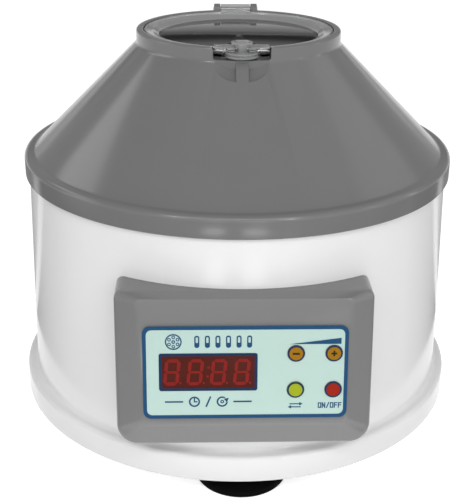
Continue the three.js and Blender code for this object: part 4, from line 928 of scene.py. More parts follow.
def sign(name, parts, body="body", slot="keypad_film", material=INK):
    first = parts[0]
    for part in parts[1:]:
        combined(first, part, "UNION")
    first.name = first.data.name = name
    return settle(on_panel(first), body, material, slot)


print("signs stand", PRINT, "proud of the film")

# %% Clock and turning arrow under the screen, for time and speed
LABEL_Y, LABEL_R, LINE = SCREEN_Y - SCREEN_H / 2 - 6.3, 2.9, 0.85
HAND = LINE * 0.8
LABEL_OFFSET = 7.2
RULE_FROM, RULE_TO = 13, 22.5
clock_x = SCREEN_X - LABEL_OFFSET
clock = (clock_x, LABEL_Y)
sign("sign_clock", [hoop(clock, LABEL_R - LINE / 2, LINE),
                    stroke(clock, (clock_x, LABEL_Y + 2.0), HAND),
                    stroke((clock_x - LINE * 0.4, LABEL_Y), (clock_x + 1.6, LABEL_Y), HAND)])
sign("sign_slash", [stroke((SCREEN_X - 1.2, LABEL_Y - LABEL_R), (SCREEN_X + 1.2, LABEL_Y + LABEL_R),
                           LINE)])
turning_x = SCREEN_X + LABEL_OFFSET
turning = (turning_x, LABEL_Y)
speed = hoop(turning, LABEL_R - LINE / 2, LINE)
combined(speed, stroke(turning, (turning_x + 4.0, LABEL_Y + 2.0), 2.6, BELOW, ABOVE))
sign("sign_turning", [speed, arrow_head((turning_x + 2.45, LABEL_Y - 0.5), (0.15, -1), 2.6),
                      hoop(turning, 0.7, 0.6, 24)])
sign("sign_rule_left", [stroke((SCREEN_X - RULE_TO, LABEL_Y), (SCREEN_X - RULE_FROM, LABEL_Y), LINE)])
sign("sign_rule_right", [stroke((SCREEN_X + RULE_FROM, LABEL_Y), (SCREEN_X + RULE_TO, LABEL_Y), LINE)])
print("under the screen:", [name for name in PIECES if name.startswith("sign_")])

# %% A six-place rotor above the screen, with its six tubes in a row beside it
HEAD_Y = PAD_TOP - 8.3
PLAN_R, PLAN_CIRCLE, PLAN_HOLE_R = 4.3, 2.5, 0.7
TUBE_W, TUBE_H, TUBE_PITCH, TUBE_START = 2.6, 6.6, 5.4, 12
EMPTY_W, EMPTY_H, EMPTY_LIFT = TUBE_W - 1.4, TUBE_H - 3.6, 0.9
rotor_x = SCREEN_X - SCREEN_W / 2 + 7.4
rotor_sign = [hoop((rotor_x, HEAD_Y), PLAN_R - 0.35, 0.7)]
for k in range(6):
    angle = math.radians(60 * k + 30)
    place = (rotor_x + PLAN_CIRCLE * math.cos(angle), HEAD_Y + PLAN_CIRCLE * math.sin(angle))
    rotor_sign.append(hoop(place, PLAN_HOLE_R, 0.5, 20))
rotor_sign.append(hoop((rotor_x, HEAD_Y), PLAN_HOLE_R, 0.6, 20))
settle(on_panel(joined("sign_rotor", rotor_sign)), "body", INK, "keypad_film")
tubes = []
for k in range(6):
    tube_x = rotor_x + TUBE_START + k * TUBE_PITCH
    shape = rounded_rectangle(TUBE_W, TUBE_H, TUBE_W * 0.45, (tube_x, HEAD_Y))
    empty = rounded_rectangle(EMPTY_W, EMPTY_H, 0.3, (tube_x, HEAD_Y + EMPTY_LIFT))
    tube = prism("tube", shape, SIGN_LOW, SIGN_TOP)
    combined(tube, prism("empty", empty, BELOW, ABOVE))
    tubes.append(tube)
settle(on_panel(joined("sign_tubes", tubes)), "body", INK, "keypad_film")
print("rings in the rotor's sign:", len(rotor_sign), "and tubes:", len(tubes))

# %% A growing wedge above the minus and plus keys, and a pair of arrows under the green one
minus_x, plus_x = KEY_COLUMNS
WEDGE_OVER, SWAP_RISE, SWAP_LINE, SWAP_HEAD = 3.6, 0.85, 0.6, 2.0
UNDER_Y = KEY_ROWS[1] - 8.8
wedge = [(minus_x - WEDGE_OVER, HEAD_Y - 1.6), (plus_x + WEDGE_OVER, HEAD_Y - 1.6),
         (plus_x + WEDGE_OVER, HEAD_Y + 1.7)]
sign("sign_wedge", [slab("wedge", wedge, SIGN_LOW, SIGN_TOP)])
upper_y, lower_y = UNDER_Y + SWAP_RISE, UNDER_Y - SWAP_RISE
sign("sign_swap", [stroke((minus_x - 3.0, upper_y), (minus_x + 2.4, upper_y), SWAP_LINE),
                   arrow_head((minus_x + 3.9, upper_y), (1, 0), SWAP_HEAD),
                   stroke((minus_x - 2.4, lower_y), (minus_x + 3.0, lower_y), SWAP_LINE),
                   arrow_head((minus_x - 3.9, lower_y), (-1, 0), SWAP_HEAD)])
print("wedge is", round(wedge[1][0] - wedge[0][0], 1), "long")

# %% ON and OFF under the red key, from straight strokes
LETTER_W, LETTER_H, LETTER_GAP, LETTER_LINE = 1.3, 2.5, 0.8, 0.58
STROKES = {"O": [(0, 0, 1, 0), (1, 0, 1, 1), (1, 1, 0, 1), (0, 1, 0, 0)],
           "/": [(0.1, -0.05, 0.9, 1.05)],
           "N": [(0, 0, 0, 1), (0, 1, 1, 0), (1, 0, 1, 1)],
           "F": [(0, 0, 0, 1), (0, 1, 1, 1), (0, 0.52, 0.8, 0.52)]}
WORD = "ON/OFF"
WORD_SHIFT = 1.6
letter_x = plus_x - WORD_SHIFT - (len(WORD) * (LETTER_W + LETTER_GAP) - LETTER_GAP) / 2
letters = []
for letter in WORD:
    for ax, ay, bx, by in STROKES[letter]:
        a = Vector((letter_x + ax * LETTER_W, UNDER_Y + (ay - 0.5) * LETTER_H))
        b = Vector((letter_x + bx * LETTER_W, UNDER_Y + (by - 0.5) * LETTER_H))
        past = (b - a).normalized() * LETTER_LINE / 2
        letters.append(stroke(a - past, b + past, LETTER_LINE))
    letter_x += LETTER_W + LETTER_GAP
sign("sign_on_off", letters)
print("signs:", sum(name.startswith("sign_") for name in PIECES))

# %% Keys with their symbols
KEY_FINISH = {"minus": (AMBER, "key_amber"), "plus": (AMBER, "key_amber"),
              "select": (LIME, "key_green"), "power": (RED, "key_red")}
CAP_TOP = 1.6
SYMBOL_LOW, SYMBOL_TOP = CAP_TOP - 0.1, CAP_TOP + 0.03
STEM_LOW, STEM_TOP, STEM_R, TIP_R = -6.6, -2.6, 2.4, 2
EDGE_IN, EDGE_OUT = KEY_R - 0.78, KEY_R + 0.02
cap_profile = rounded([
    (0, STEM_LOW), (TIP_R, STEM_LOW), (STEM_R, STEM_TOP), (KEY_R - 1, STEM_TOP), (KEY_R - 1, 0.8),
    (KEY_R, 0.8), (KEY_R, 1.45, 0.3), (KEY_R - 0.9, CAP_TOP, 1.0), (0, CAP_TOP)])
edge_profile = [(EDGE_IN, 1.5), (EDGE_OUT, 1.3), (EDGE_OUT, 1.48), (KEY_R - 0.5, CAP_TOP + 0.01),
                (EDGE_IN, CAP_TOP + 0.01)]
for name, (x, y) in KEY_PLACES.items():
    material, slot = KEY_FINISH[name]
    body = name + "_button"
    cap = turned("cap_" + name, cap_profile, 64, (x, y), closed=False)
    settle(on_panel(cap), body, material, slot, "key_" + name)
    settle(on_panel(turned("cap_edge_" + name, edge_profile, 64, (x, y))), body, DARK_INK, slot)
    if name in ("minus", "plus"):
        half, width = (1.85, 1.1) if name == "minus" else (1.5, 0.95)
        bars = [stroke((x - half, y), (x + half, y), width, SYMBOL_LOW, SYMBOL_TOP)]
        if name == "plus":
            bars.append(stroke((x, y - half), (x, y + half), width, SYMBOL_LOW, SYMBOL_TOP))
        sign("sign_" + name, bars, body, slot, SIGN_INK)
print("pieces so far:", len(PIECES))

# %% [markdown]
# ## Feet and base
# The machine stands on three rubber suction feet, bolted up into the skirt through a sheet-steel base.
# A foot could be a plain cylinder, but its thin flared lip is what says that it grips, so it is turned
# from one profile, thin at its lip and thick at its neck. The base is a plain disc with radial vents
# for the fan that hangs above it, and the vents are copies of one slot, turned about the axis.

# %% Feet
FOOT_ANGLES = {"front": 270, "right": 30, "left": 150}
FOOT_CIRCLE = 107.0
FOOT_TOP_Z = SKIRT_Z + 1
FOOT_BORE_R = 2.8
foot_profile = rounded([
    (20, 0), (25.2, 0, 0.5), (26, 1, 0.6), (25, 3.4, 1.2), (19, 7.4, 4), (11, 9.4, 2.2),
    (11, FOOT_TOP_Z), (FOOT_BORE_R, FOOT_TOP_Z), (FOOT_BORE_R, 6.5), (7, 6.5, 0.4), (7, 4, 0.6)],
    closed=True)


def on_circle(radius, degrees):
    return radius * math.cos(math.radians(degrees)), AXIS_Y + radius * math.sin(math.radians(degrees))


for side, degrees in FOOT_ANGLES.items():
    foot = turned("suction_foot_" + side, foot_profile, 96, on_circle(FOOT_CIRCLE, degrees))
    settle(foot, "body", RUBBER, "foot_rubber", "foot_" + side)
print("feet:", len(FOOT_ANGLES), "on a circle of", FOOT_CIRCLE)

# %% Screws: a turned body, and a cross recess cut in its head
SHANK_R, HEAD_R, HEAD_CORNER, RECESS = 2, 4, 1.0, 2.2
BOLT_SHANK_R, BOLT_HEAD_R, BOLT_LOW, BOLT_NECK, BOLT_TOP = 2.5, 6, 3.3, 6.3, 31


def screw(name, profile, recess, matrix):
    """The head looks down its own -Z, and its face is at the height of the profile's first point."""
    body = turned(name, profile, 48, (0, 0), closed=False)
    top = profile[0][1]
    for turn in (0, math.pi / 2):
        arm = block("arm", (-recess, -recess * 0.22, top - 1),
                    (recess, recess * 0.22, top + recess * 0.5))
        combined(body, moved(arm, Matrix.Rotation(turn, 4, "Z")))
    return moved(body, matrix)


def small_screw(name, low, seat, high, matrix, node):
    """A screw from low to high whose head sits on a face at seat."""
    profile = rounded([(0, low), (HEAD_R, low, HEAD_CORNER), (HEAD_R, seat, 0.1), (SHANK_R, seat),
                       (SHANK_R, high), (0, high)])
    settle(screw(name, profile, RECESS, matrix), "body", STEEL, "fastener_steel", node)


bolt_profile = rounded([(0, BOLT_LOW), (BOLT_HEAD_R, BOLT_LOW, 1.2), (BOLT_HEAD_R, BOLT_NECK, 0.2),
                        (BOLT_SHANK_R, BOLT_NECK), (BOLT_SHANK_R, BOLT_TOP), (0, BOLT_TOP)])
for side, degrees in FOOT_ANGLES.items():
    x, y = on_circle(FOOT_CIRCLE, degrees)
    bolt = screw("foot_screw_" + side, bolt_profile, 3.0, Matrix.Translation((x, y, 0)))
    settle(bolt, "body", STEEL, "fastener_steel", "foot_bolt_" + side)
SCREW_CIRCLE, SCREW_ANGLES = 116, (90, 210, 330)
SCREW_SEAT_Z, SCREW_TOP_Z = DRUM_TOP_Z - 6, DRUM_TOP_Z + 3.5
for i, degrees in enumerate(SCREW_ANGLES):
    x, y = on_circle(SCREW_CIRCLE, degrees)
    small_screw(f"cover_fixing_{i + 1}", SCREW_SEAT_Z - 2.6, SCREW_SEAT_Z, SCREW_TOP_Z,
                Matrix.Translation((x, y, 0)), f"cover_screw_{i + 1}")
for side in ("left", "right"):
    low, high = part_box("housing_screw_" + side)
    middle = (low + high) / 2 / MM
    turn = Matrix.Translation((middle.x, low.y / MM, middle.z)) @ Matrix.Rotation(math.pi / 2, 4, "X")
    length = (high.y - low.y) / MM
    small_screw("housing_fixing_" + side, -length, 2.2 - length, 0, turn, "housing_screw_" + side)
print("screws and bolts:", [name for name in PIECES if "fixing" in name or "foot_screw" in name])

# %% Base sheet
BASE_R = 131.2
BASE_LOW_Z, BASE_TOP_Z = SKIRT_Z + 1, SKIRT_Z + 3
VENTS, VENT_LENGTH, VENT_WIDTH, VENT_AT = 10, 26, 5, 29
MOUNT_CIRCLE, MOUNT_ANGLES, MOUNT_HOLE_R = 60, (30, 150, 270), 3.3
POST_R, POST_X, POST_Y = 3, (-36, 36), (66, 104)
CUT_LOW, CUT_HIGH = 5, 25           # heights past both sides of the sheet
base = disc("base_sheet", BASE_R, BASE_LOW_Z, BASE_TOP_Z, (0, None), 200, 0.5)
slot = [(x + VENT_AT, y) for x, y in rounded_rectangle(VENT_LENGTH, VENT_WIDTH, 2.45)]
cutters = []
for i in range(VENTS):
    cutters.append(moved(prism("vent", slot, CUT_LOW, CUT_HIGH), Matrix.Translation((0, AXIS_Y, 0))
                         @ Matrix.Rotation(2 * math.pi * i / VENTS, 4, "Z")))
for circle, angles, radius in ((FOOT_CIRCLE, FOOT_ANGLES.values(), FOOT_BORE_R),
                               (MOUNT_CIRCLE, MOUNT_ANGLES, MOUNT_HOLE_R)):
    for degrees in angles:
        cutters.append(disc("hole", radius, CUT_LOW, CUT_HIGH, on_circle(circle, degrees), 32))
combined(base, joined("cutters", cutters))
for x in POST_X:
    for y in POST_Y:
        post = disc("post", POST_R, BASE_TOP_Z - 0.5, SKIRT_Z + 7, (x, AXIS_Y + y), 32, 0.3)
        combined(base, post, "UNION")
settle(base, "body", ZINC, "plated_steel", "base_plate")
print("cuts in the base sheet:", len(cutters))

# %% [markdown]
# ## Chamber and rotor
# Under the lid, six steel tube sleeves lean in an angle rotor, which turns in a spun aluminium bowl.
# The rotor could be modelled hole by hole, but on the real one it is a conical moulding bored at six
# places, so it is a turned body cut by six slanted bars. A spun bowl shows faint rings, which come from
# a finish stretched round the axis.

# %% Bowl, gasket and boot
bowl_low, bowl_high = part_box("chamber_bowl")
BOWL_R, BOWL_WALL, AXLE_HOLE_R = 107.2, 1.5, 16
FLANGE_R, SEAL_R = 121.3, 113.3
BOWL_Z = bowl_low.z / MM + BOWL_WALL
BOOT_BORE_R, BOOT_TOP_Z = 7.6, BOWL_Z + 8
FLANGE_Z = LEDGE_TOP_Z + BOWL_WALL
bowl_profile = rounded([
    (AXLE_HOLE_R, BOWL_Z - BOWL_WALL), (BOWL_R - 4, BOWL_Z - BOWL_WALL, 9.5),
    (BOWL_R + BOWL_WALL, LEDGE_TOP_Z, 0.4), (FLANGE_R, LEDGE_TOP_Z), (FLANGE_R, FLANGE_Z),
    (BOWL_R, FLANGE_Z, 1.6), (BOWL_R - 4.2, BOWL_Z, 8), (AXLE_HOLE_R, BOWL_Z)], closed=True)
bowl = turned("spun_bowl", bowl_profile, 200)


def screw_holes():
    return joined("holes", [disc("hole", 2.3, 140, 170, on_circle(SCREW_CIRCLE, degrees), 32)
                            for degrees in SCREW_ANGLES])


combined(bowl, screw_holes())
settle(bowl, "body", SPUN, "bowl_aluminium", "chamber_bowl")
seal_low, seal_high = [corner.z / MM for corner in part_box("chamber_gasket")]
seal = turned("bowl_seal", rounded([
    (SEAL_R, seal_low, 0.4), (FLANGE_R, seal_low, 0.4), (FLANGE_R, seal_high, 0.4),
    (SEAL_R, seal_high, 0.4)], closed=True), 160)
combined(seal, screw_holes())
settle(seal, "body", RUBBER, "seal_rubber", "chamber_gasket")
boot = turned("axle_boot", rounded([
    (BOOT_BORE_R, BOWL_Z - 1), (15.7, BOWL_Z - 1), (15.7, BOWL_Z + 0.3), (20, BOWL_Z + 0.3, 0.5),
    (19, BOWL_Z + 2.4, 1), (13, BOWL_Z + 3, 2), (9.2, BOOT_TOP_Z, 0.6), (BOOT_BORE_R, BOOT_TOP_Z)],
    closed=True), 96)
settle(boot, "body", RUBBER, "seal_rubber", "shaft_boot")
print("bowl is", round(bowl_high.z / MM - bowl_low.z / MM, 1), "deep")

# %% Rotor head and its bores
ROTOR_TILT = math.radians(35)
MOUTH_R, MOUTH_Z = 38.0, WINDOW_LOW_Z - 26
HEAD_TOP_Z = MOUTH_Z + 3
HEAD_LOW_Z = HEAD_TOP_Z - 36
AXLE_R = 5.3
SLEEVE_R, SLEEVE_LENGTH = 9.0, 100.0
SLEEVE_PLACES = [60 * i + 30 for i in range(6)]
outer_low = (MOUTH_R + (MOUTH_Z - HEAD_LOW_Z) * math.tan(ROTOR_TILT)
             + (SLEEVE_R + 4.3) / math.cos(ROTOR_TILT))


def at_sleeve(piece, degrees):
    round_axis = Matrix.Translation((0, AXIS_Y, 0)) @ Matrix.Rotation(math.radians(degrees), 4, "Z")
    return moved(piece, round_axis @ Matrix.Translation((MOUTH_R, 0, MOUTH_Z))
                 @ Matrix.Rotation(-ROTOR_TILT, 4, "Y"))


head = turned("angle_rotor", rounded([
    (AXLE_R, HEAD_LOW_Z + 4), (13, HEAD_LOW_Z + 4, 0.6), (15, HEAD_TOP_Z - 9, 2),
    (46, HEAD_TOP_Z - 9, 2), (outer_low - 5, HEAD_LOW_Z, 0.6), (outer_low, HEAD_LOW_Z, 0.8),
    (52, HEAD_TOP_Z - 2, 1.0),
    (50, HEAD_TOP_Z, 1.2), (AXLE_R, HEAD_TOP_Z, 0.4)], closed=True), 180)
bores = []
for degrees in SLEEVE_PLACES:
    bores.append(at_sleeve(disc("bore", SLEEVE_R + 0.3, -80, -1.8, (0, 0), 64), degrees))
    bores.append(at_sleeve(disc("seat", SLEEVE_R + 1.6, -1.9, 30, (0, 0), 64), degrees))
for cutter in bores:
    combined(head, cutter)
settle(head, "rotor", BLACK_MOULD, "rotor_plastic", "rotor_head")
print("rotor head reaches", round(outer_low, 1), "from the axis")

# %% Sleeves and nut
SLEEVE_WALL, COLLAR, COLLAR_LOW = 0.6, 1.3, -1.6
SLEEVE_LOW = -SLEEVE_LENGTH
NUT_Z, NUT_R, NUT_HEIGHT, NUT_DEPTH = HEAD_TOP_Z + 0.3, 9, 12, 9
NUT_FLANGE_R = 11
GROOVE_COUNT, GROOVE_SIZE, GROOVE_CIRCLE = 24, 0.55, 9.35
sleeve_profile = rounded([
    (0, SLEEVE_LOW), (SLEEVE_R, SLEEVE_LOW, 8.5), (SLEEVE_R, COLLAR_LOW),
    (SLEEVE_R + COLLAR, COLLAR_LOW, 0.3), (SLEEVE_R + COLLAR, 0, 0.7),
    (SLEEVE_R - SLEEVE_WALL, 0, 0.5), (SLEEVE_R - SLEEVE_WALL, SLEEVE_LOW + SLEEVE_WALL, 7.9),
    (0, SLEEVE_LOW + SLEEVE_WALL)])
for i, degrees in enumerate(SLEEVE_PLACES):
    sleeve = turned(f"drawn_sleeve_{i + 1}", sleeve_profile, 64, (0, 0), closed=False)
    settle(at_sleeve(sleeve, degrees), "rotor", STEEL, "sleeve_steel", f"tube_sleeve_{i + 1}")
nut = turned("rotor_knob", rounded([
    (AXLE_R, NUT_Z), (NUT_FLANGE_R, NUT_Z, 0.3), (NUT_FLANGE_R, NUT_Z + 2, 0.4),
    (NUT_R, NUT_Z + 3, 0.6), (NUT_R, NUT_Z + NUT_HEIGHT, 1.2), (0, NUT_Z + NUT_HEIGHT),
    (0, NUT_Z + NUT_DEPTH), (AXLE_R, NUT_Z + NUT_DEPTH)], closed=True), 144)
grooves = []
for k in range(GROOVE_COUNT):
    angle = math.pi * k / (GROOVE_COUNT // 2)
    place = (GROOVE_CIRCLE * math.cos(angle), AXIS_Y + GROOVE_CIRCLE * math.sin(angle))
    grooves.append(disc("groove", GROOVE_SIZE, NUT_Z + 3.6, NUT_Z + 13, place, 16))
combined(nut, joined("grooves", grooves))
settle(nut, "rotor", SPUN, "nut_aluminium", "rotor_nut")
print("sleeves:", len(SLEEVE_PLACES), "and grooves in the nut:", len(grooves))

# %% [markdown]
# ## Mains inlet
# At the back, the mains lead plugs into a black moulding with three flat contacts, over a small fuse
# drawer. One dark box with a picture of a socket would do from afar, but the drawer slides out, so its
# pocket has to be real. Both pieces are mostly flat faces with small rounds, so they are rounded
# plates joined and cut.

# %% Inlet and fuse drawer
SEAT_Y = PAD_Y + 0.3
OUT_Y = SEAT_Y + 2.4
BACKWARD = (Matrix.Translation((0, OUT_Y, INLET_Z)) @ Matrix.Rotation(-math.pi / 2, 4, "X")
            @ Matrix.Scale(-1, 4, (0, 1, 0)))
SOCKET_Y, TRAY_Y = 6.0, -10
CONTACTS = ((-7, -2), (0, 2), (7, -2))


def at_back(piece):
    """Made lying down with its front up, then stood against the back of the drum."""
    made = moved(piece, BACKWARD)
    made.data.flip_normals()
    return made


def back_plate(name, width, height, corner, low, high, middle=(0, 0), edge=0.0):
    return at_back(prism(name, rounded_rectangle(width, height, corner, middle), low, high, edge))


inlet = back_plate("mains_socket", 50, 36, 3, -2.4, 0, edge=0.5)
combined(inlet, back_plate("body", 44, 31, 1, -28.4, -2.0), "UNION")
combined(inlet, back_plate("socket", 24.6, 16.6, 2.4, -17, 5, (0, SOCKET_Y)))
combined(inlet, back_plate("tray", 20.6, 8.2, 0.6, -21, 5, (0, TRAY_Y)))
for x, rise in CONTACTS:
    combined(inlet, back_plate("contact", 2, 4, 0.5, -35.4, -5, (x, SOCKET_Y + rise), 0.3), "UNION")
settle(inlet, "body", BLACK_MOULD, "inlet_plastic", "power_inlet")
drawer = back_plate("fuse_tray", 20, 7.6, 0.6, -20, 1, (0, TRAY_Y), 0.35)
combined(drawer, back_plate("trough", 16, 8.0, 0.6, -18, -2, (0, TRAY_Y + 1.6)))
combined(drawer, back_plate("pull", 12, 2.4, 0.8, 0.5, 2, (0, TRAY_Y), 0.4), "UNION")
settle(drawer, "fuse_tray", BLACK_MOULD, "inlet_plastic", "fuse_drawer")
print("contacts in the inlet:", len(CONTACTS))

# %% [markdown]
# ## Pieces kept from the CAD model
# The motor, its mounts, the boards and the switches stay hidden in the closed machine, and their CAD
# shapes are right. They could be made again with softer edges, but nobody would see it, so they only
# get a finish of their own.

# %% Finishes for the hidden pieces
CORE = finish("core stack", (0.2, 0.2, 0.21), 0.45, metallic=1.0, mottle=0.1, mottle_size=4,
              rough_spread=0.1, grain=0.01, grain_size=0.6, stretch=(0.2, 0.2, 3))
CAN_BLUE = finish("capacitor sleeve", (0.03, 0.06, 0.14), 0.35, mottle=0.1, mottle_size=6,
                  grain=0.003, grain_size=0.6)
KEPT = {
    "rubber_mount_1": RUBBER, "rubber_mount_2": RUBBER, "rubber_mount_3": RUBBER, "motor_can": CORE,
    "upper_end_bell": SPUN, "lower_end_bell": SPUN, "field_core": CORE, "armature_core": CORE,
    "upper_bearing": STEEL, "lower_bearing": STEEL, "motor_shaft": STEEL, "cooling_fan": BLACK_MOULD,
    "motor_plate": ZINC, "display_module": BLACK_MOULD, "switch_minus": BLACK_MOULD,
    "switch_plus": BLACK_MOULD, "switch_select": BLACK_MOULD, "switch_power": BLACK_MOULD,
    "control_board": LAMINATE, "power_board": LAMINATE, "run_capacitor": CAN_BLUE}
for node, material in KEPT.items():
    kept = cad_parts[node]
    kept.data.materials.clear()
    kept.data.materials.append(material)
print("kept from the CAD model:", len(KEPT))

# %% [markdown]
# ## Studio
# The machine stands on a white sweep, and what makes it look as it does is mostly what it mirrors. A
# sky picture would light it too, but nothing in it could be moved. So the sky is a plain gradient,
# brighter in front and behind than at the sides, with a few soft patches added where a diffuser would
# hang. A wide box in front and above draws the line of light along the rim, narrow spots draw the
# bright streaks of the cone and neck, and lamps near the sides and two low panes fill in between.
# Lamps lying on the floor show in the drum as upright patches. Cards on the floor that only
# reflections meet, and a grey flag behind the machine, make edges darker where a surface would
# otherwise be lost in white.

# %% A floor that shows white to the camera and in gloss, and is plain pale paint to the lamps
FLOOR_LIFT = 0.62
FLOOR_HALF = 24.0


def white_floor():
    material = bpy.data.materials.new("floor paint")
    material.use_nodes = True
    nodes, links = material.node_tree.nodes, material.node_tree.links
    shader = nodes["Principled BSDF"]
    shader.inputs["Base Color"].default_value = (0.88, 0.88, 0.88, 1)
    shader.inputs["Roughness"].default_value = 0.8
    shader.inputs["Specular IOR Level"].default_value = 0.1
    shader.inputs["Emission Color"].default_value = (1, 1, 1, 1)
    path = nodes.new("ShaderNodeLightPath")
    seen = path.outputs["Is Camera Ray"]
    for kind in ("Is Glossy Ray", "Is Transmission Ray"):
        either = nodes.new("ShaderNodeMath")
        either.operation = "MAXIMUM"
        links.new(seen, either.inputs[0])
        links.new(path.outputs[kind], either.inputs[1])
        seen = either.outputs[0]
    lift = nodes.new("ShaderNodeMath")
    lift.operation = "MULTIPLY"
    lift.inputs[1].default_value = FLOOR_LIFT
    links.new(seen, lift.inputs[0])
    links.new(lift.outputs[0], shader.inputs["Emission Strength"])
    return material


def card(name, corners, faces, material):
    """A flat piece of the studio, given in metres, that is no part of the machine."""
    mesh = bpy.data.meshes.new(name)
    mesh.from_pydata(corners, [], faces)
    made = linked(name, mesh)
    made.data.materials.append(material)
    return made


card("floor", [(x, y, 0) for x, y in ((-FLOOR_HALF, -FLOOR_HALF), (FLOOR_HALF, -FLOOR_HALF),
                                      (FLOOR_HALF, FLOOR_HALF), (-FLOOR_HALF, FLOOR_HALF))],
     [(0, 1, 2, 3)], white_floor())
print("floor is", 2 * FLOOR_HALF, "m wide")

# %% Sky: a gradient by height, times another one from front to back
SKY_LIGHT = 0.97
SKY_BY_HEIGHT = ((0.0, 1.0), (0.12, 1.0), (0.3, 0.8), (1.0, 0.9))
SKY_BY_FACING = ((0.0, 0.82), (0.5, 0.36), (0.75, 0.42), (1.0, 0.55))    # from the front to the back


def ramp(nodes, stops):
    """A grey colour ramp from (place, value) pairs."""
    made = nodes.new("ShaderNodeValToRGB")
    elements = made.color_ramp.elements
    while len(elements) < len(stops):
        elements.new(0.5)
    for element, (place, value) in zip(elements, stops):
        element.position = place
        element.color = (value, value, value, 1)
    return made


world = bpy.data.worlds.new("sky")
bpy.context.scene.world = world
world.use_nodes = True
sky, sky_links = world.node_tree.nodes, world.node_tree.links
direction = sky.new("ShaderNodeTexCoord")
parts = sky.new("ShaderNodeSeparateXYZ")
sky_links.new(direction.outputs["Generated"], parts.inputs["Vector"])
height = ramp(sky, SKY_BY_HEIGHT)
sky_links.new(parts.outputs["Z"], height.inputs["Fac"])
backness = sky.new("ShaderNodeMapRange")
backness.inputs["From Min"].default_value = -1
sky_links.new(parts.outputs["Y"], backness.inputs["Value"])
facing = ramp(sky, [(place, SKY_LIGHT * share) for place, share in SKY_BY_FACING])
sky_links.new(backness.outputs["Result"], facing.inputs["Fac"])
level = sky.new("ShaderNodeMath")
level.operation = "MULTIPLY"
sky_links.new(height.outputs["Color"], level.inputs[0])
sky_links.new(facing.outputs["Color"], level.inputs[1])
sky["Background"].inputs["Color"].default_value = (1, 1, 1, 1)
print("sky in front", round(SKY_LIGHT * SKY_BY_FACING[0][1], 2), "and behind",
      round(SKY_LIGHT * SKY_BY_FACING[-1][1], 2))

# %% Soft patches in the sky: big diffusers, bright in the middle and fading to nothing
SKY_PATCHES = {     # azimuth, elevation, half widths where it is full and where it ends, and its light
    "left diffuser": (-90, 14, 2, 18, 1.5),
    "right diffuser": (94, 42, 4, 36, 0.22),
    "fill": (46, 8, 10, 66, 0.24)}


def pointing(azimuth, elevation):
    """Azimuth 0 is in front of the machine and 90 is to its right."""
    a, e = math.radians(azimuth), math.radians(elevation)
    return Vector((math.sin(a) * math.cos(e), -math.cos(a) * math.cos(e), math.sin(e)))


total = level.outputs[0]
for azimuth, elevation, full, end, amount in SKY_PATCHES.values():
    nearness = sky.new("ShaderNodeVectorMath")
    nearness.operation = "DOT_PRODUCT"
    nearness.inputs[1].default_value = pointing(azimuth, elevation)
    sky_links.new(direction.outputs["Generated"], nearness.inputs[0])
    fade = sky.new("ShaderNodeMapRange")
    fade.interpolation_type = "SMOOTHERSTEP"
    fade.inputs["From Min"].default_value = math.cos(math.radians(end))
    fade.inputs["From Max"].default_value = math.cos(math.radians(full))
    fade.inputs["To Max"].default_value = amount
    sky_links.new(nearness.outputs["Value"], fade.inputs["Value"])
    adding = sky.new("ShaderNodeMath")
    adding.operation = "ADD"
    sky_links.new(total, adding.inputs[0])
    sky_links.new(fade.outputs["Result"], adding.inputs[1])
    total = adding.outputs[0]
sky_links.new(total, sky["Background"].inputs["Strength"])
print("patches in the sky:", ", ".join(SKY_PATCHES))

# %% Lamps, each given by where it stands round the machine and how bright its face is
AIM = Vector((0, 0, 0.13))
LAMPS = {           # azimuth, elevation, distance, (width, height), and the light of its face
    "front_box": (-4, 42, 1.5, (1.7, 0.2), 5.4),
    "front_left_spot": (-34, 30, 1.5, (0.08, 0.4), 10),
    "front_right_spot": (24, 18, 1.5, (0.08, 0.4), 14),
    "right_low_spot": (68, 16, 1.2, (0.05, 0.4), 5),
    "right_spot": (95, 14, 1.2, (0.1, 0.45), 2.8),
    "near_left": (-97, 35, 0.44, (0.25, 0.1), 1.6),
    "near_right": (100, 38, 0.6, (0.32, 0.22), 0.4),
    "left_pane": (-12.5, 5, 1.0, (0.16, 0.22), 1.6),
    "right_pane": (6.5, 5, 1.0, (0.18, 0.22), 1.8)}


def lamp(name, place, size, radiance):
    """A glowing rectangle that the camera doesn't see."""
    light = bpy.data.lights.new(name, "AREA")
    light.shape, light.size, light.size_y = "RECTANGLE", size[0], size[1]
    light.energy = radiance * math.pi * size[0] * size[1]
    made = linked(name, light)
    made.location = place
    made.visible_camera = False
    return made


for name, (azimuth, elevation, distance, size, radiance) in LAMPS.items():
    place = AIM + distance * pointing(azimuth, elevation)
    facing_in = (AIM - place).to_track_quat("-Z", "Y").to_euler()
    lamp(name, place, size, radiance).rotation_euler = facing_in
print("lamps round the machine:", len(LAMPS))

# %% Lamps lying on the floor and facing up: a strip close to the skirt, two windows and a thin wedge
FLOOR_LAMPS = {     # place, width and length in metres, and the light of its face
    "near_strip": ((0.0, -0.225, 0.002), (0.3, 0.1), 1.0),
    "window_left": ((-0.103, -0.485, 0.003), (0.078, 0.13), 3.7),
    "wedge": ((0.128, -0.75, 0.003), (0.055, 0.13), 1.1),
    "window_right": ((0.055, -0.485, 0.003), (0.088, 0.13), 3.5)}
for name, (place, size, radiance) in FLOOR_LAMPS.items():
    lamp(name, place, size, radiance).rotation_euler = (math.pi, 0, 0)
print("lamps on the floor:", len(FLOOR_LAMPS))

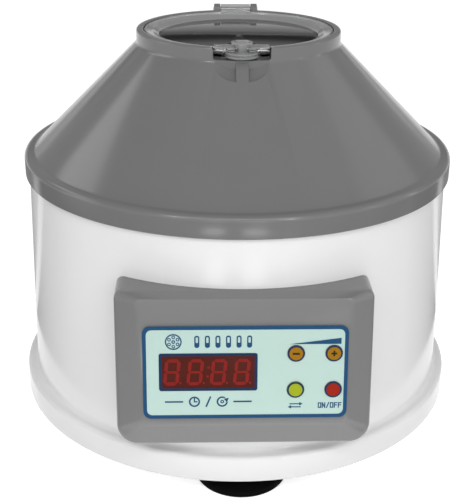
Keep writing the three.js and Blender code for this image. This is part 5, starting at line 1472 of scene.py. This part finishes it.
# %% Cards on the floor that only reflections meet: a pale one behind, a grey one in front
CARD_HEIGHT, CARD_STEP = 0.0015, 4
CARDS = {           # first and last azimuth, nearest and farthest radius in metres, and the finish
    "back_card": (126, 234, 0.155, 0.9, finish("pale card", (0.45, 0.45, 0.45), 0.8)),
    "front_card": (-118, 118, 0.2, 1.4, GREY_COVER)}
for name, (first, last, near, far, material) in CARDS.items():
    corners = []
    count = (last - first) // CARD_STEP
    for k in range(count + 1):
        angle = math.radians(first + (last - first) * k / count)
        for radius in (near, far):
            x, y = radius * math.sin(angle), AXIS_Y * MM - radius * math.cos(angle)
            corners.append((x, y, CARD_HEIGHT))
    faces = [(2 * k, 2 * k + 1, 2 * k + 3, 2 * k + 2) for k in range(count)]
    made = card(name, corners, faces, material)
    made.visible_camera = made.visible_diffuse = False
    made.visible_shadow = made.visible_transmission = False
    print(name, "has", count, "facets")

# %% A grey flag behind, which clear plastic needs so that its surface reads
FLAG_HALF, FLAG_Y, FLAG_LOW, FLAG_HIGH = 0.9, 1.2, 0.30, 0.66
FLAG_SHADES = ((0.0, 1.0), (0.15, 0.95), (0.3, 0.5), (0.42, 0.2), (0.52, 0.05), (0.58, 0.06),
               (0.68, 0.3), (1.0, 0.6))         # from its foot to its top
cloth = bpy.data.materials.new("flag cloth")
cloth.use_nodes = True
cloth_nodes, cloth_links = cloth.node_tree.nodes, cloth.node_tree.links
cloth_nodes.remove(cloth_nodes["Principled BSDF"])
glow = cloth_nodes.new("ShaderNodeEmission")
place = cloth_nodes.new("ShaderNodeTexCoord")
axes = cloth_nodes.new("ShaderNodeSeparateXYZ")
cloth_links.new(place.outputs["Generated"], axes.inputs["Vector"])
fade = ramp(cloth_nodes, FLAG_SHADES)
cloth_links.new(axes.outputs["Z"], fade.inputs["Fac"])
cloth_links.new(fade.outputs["Color"], glow.inputs["Color"])
cloth_links.new(glow.outputs["Emission"], cloth_nodes["Material Output"].inputs["Surface"])
flag = card("flag", [(-FLAG_HALF, FLAG_Y, FLAG_LOW), (FLAG_HALF, FLAG_Y, FLAG_LOW),
                     (FLAG_HALF, FLAG_Y, FLAG_HIGH), (-FLAG_HALF, FLAG_Y, FLAG_HIGH)],
            [(0, 1, 2, 3)], cloth)
flag.visible_camera = flag.visible_diffuse = flag.visible_shadow = False
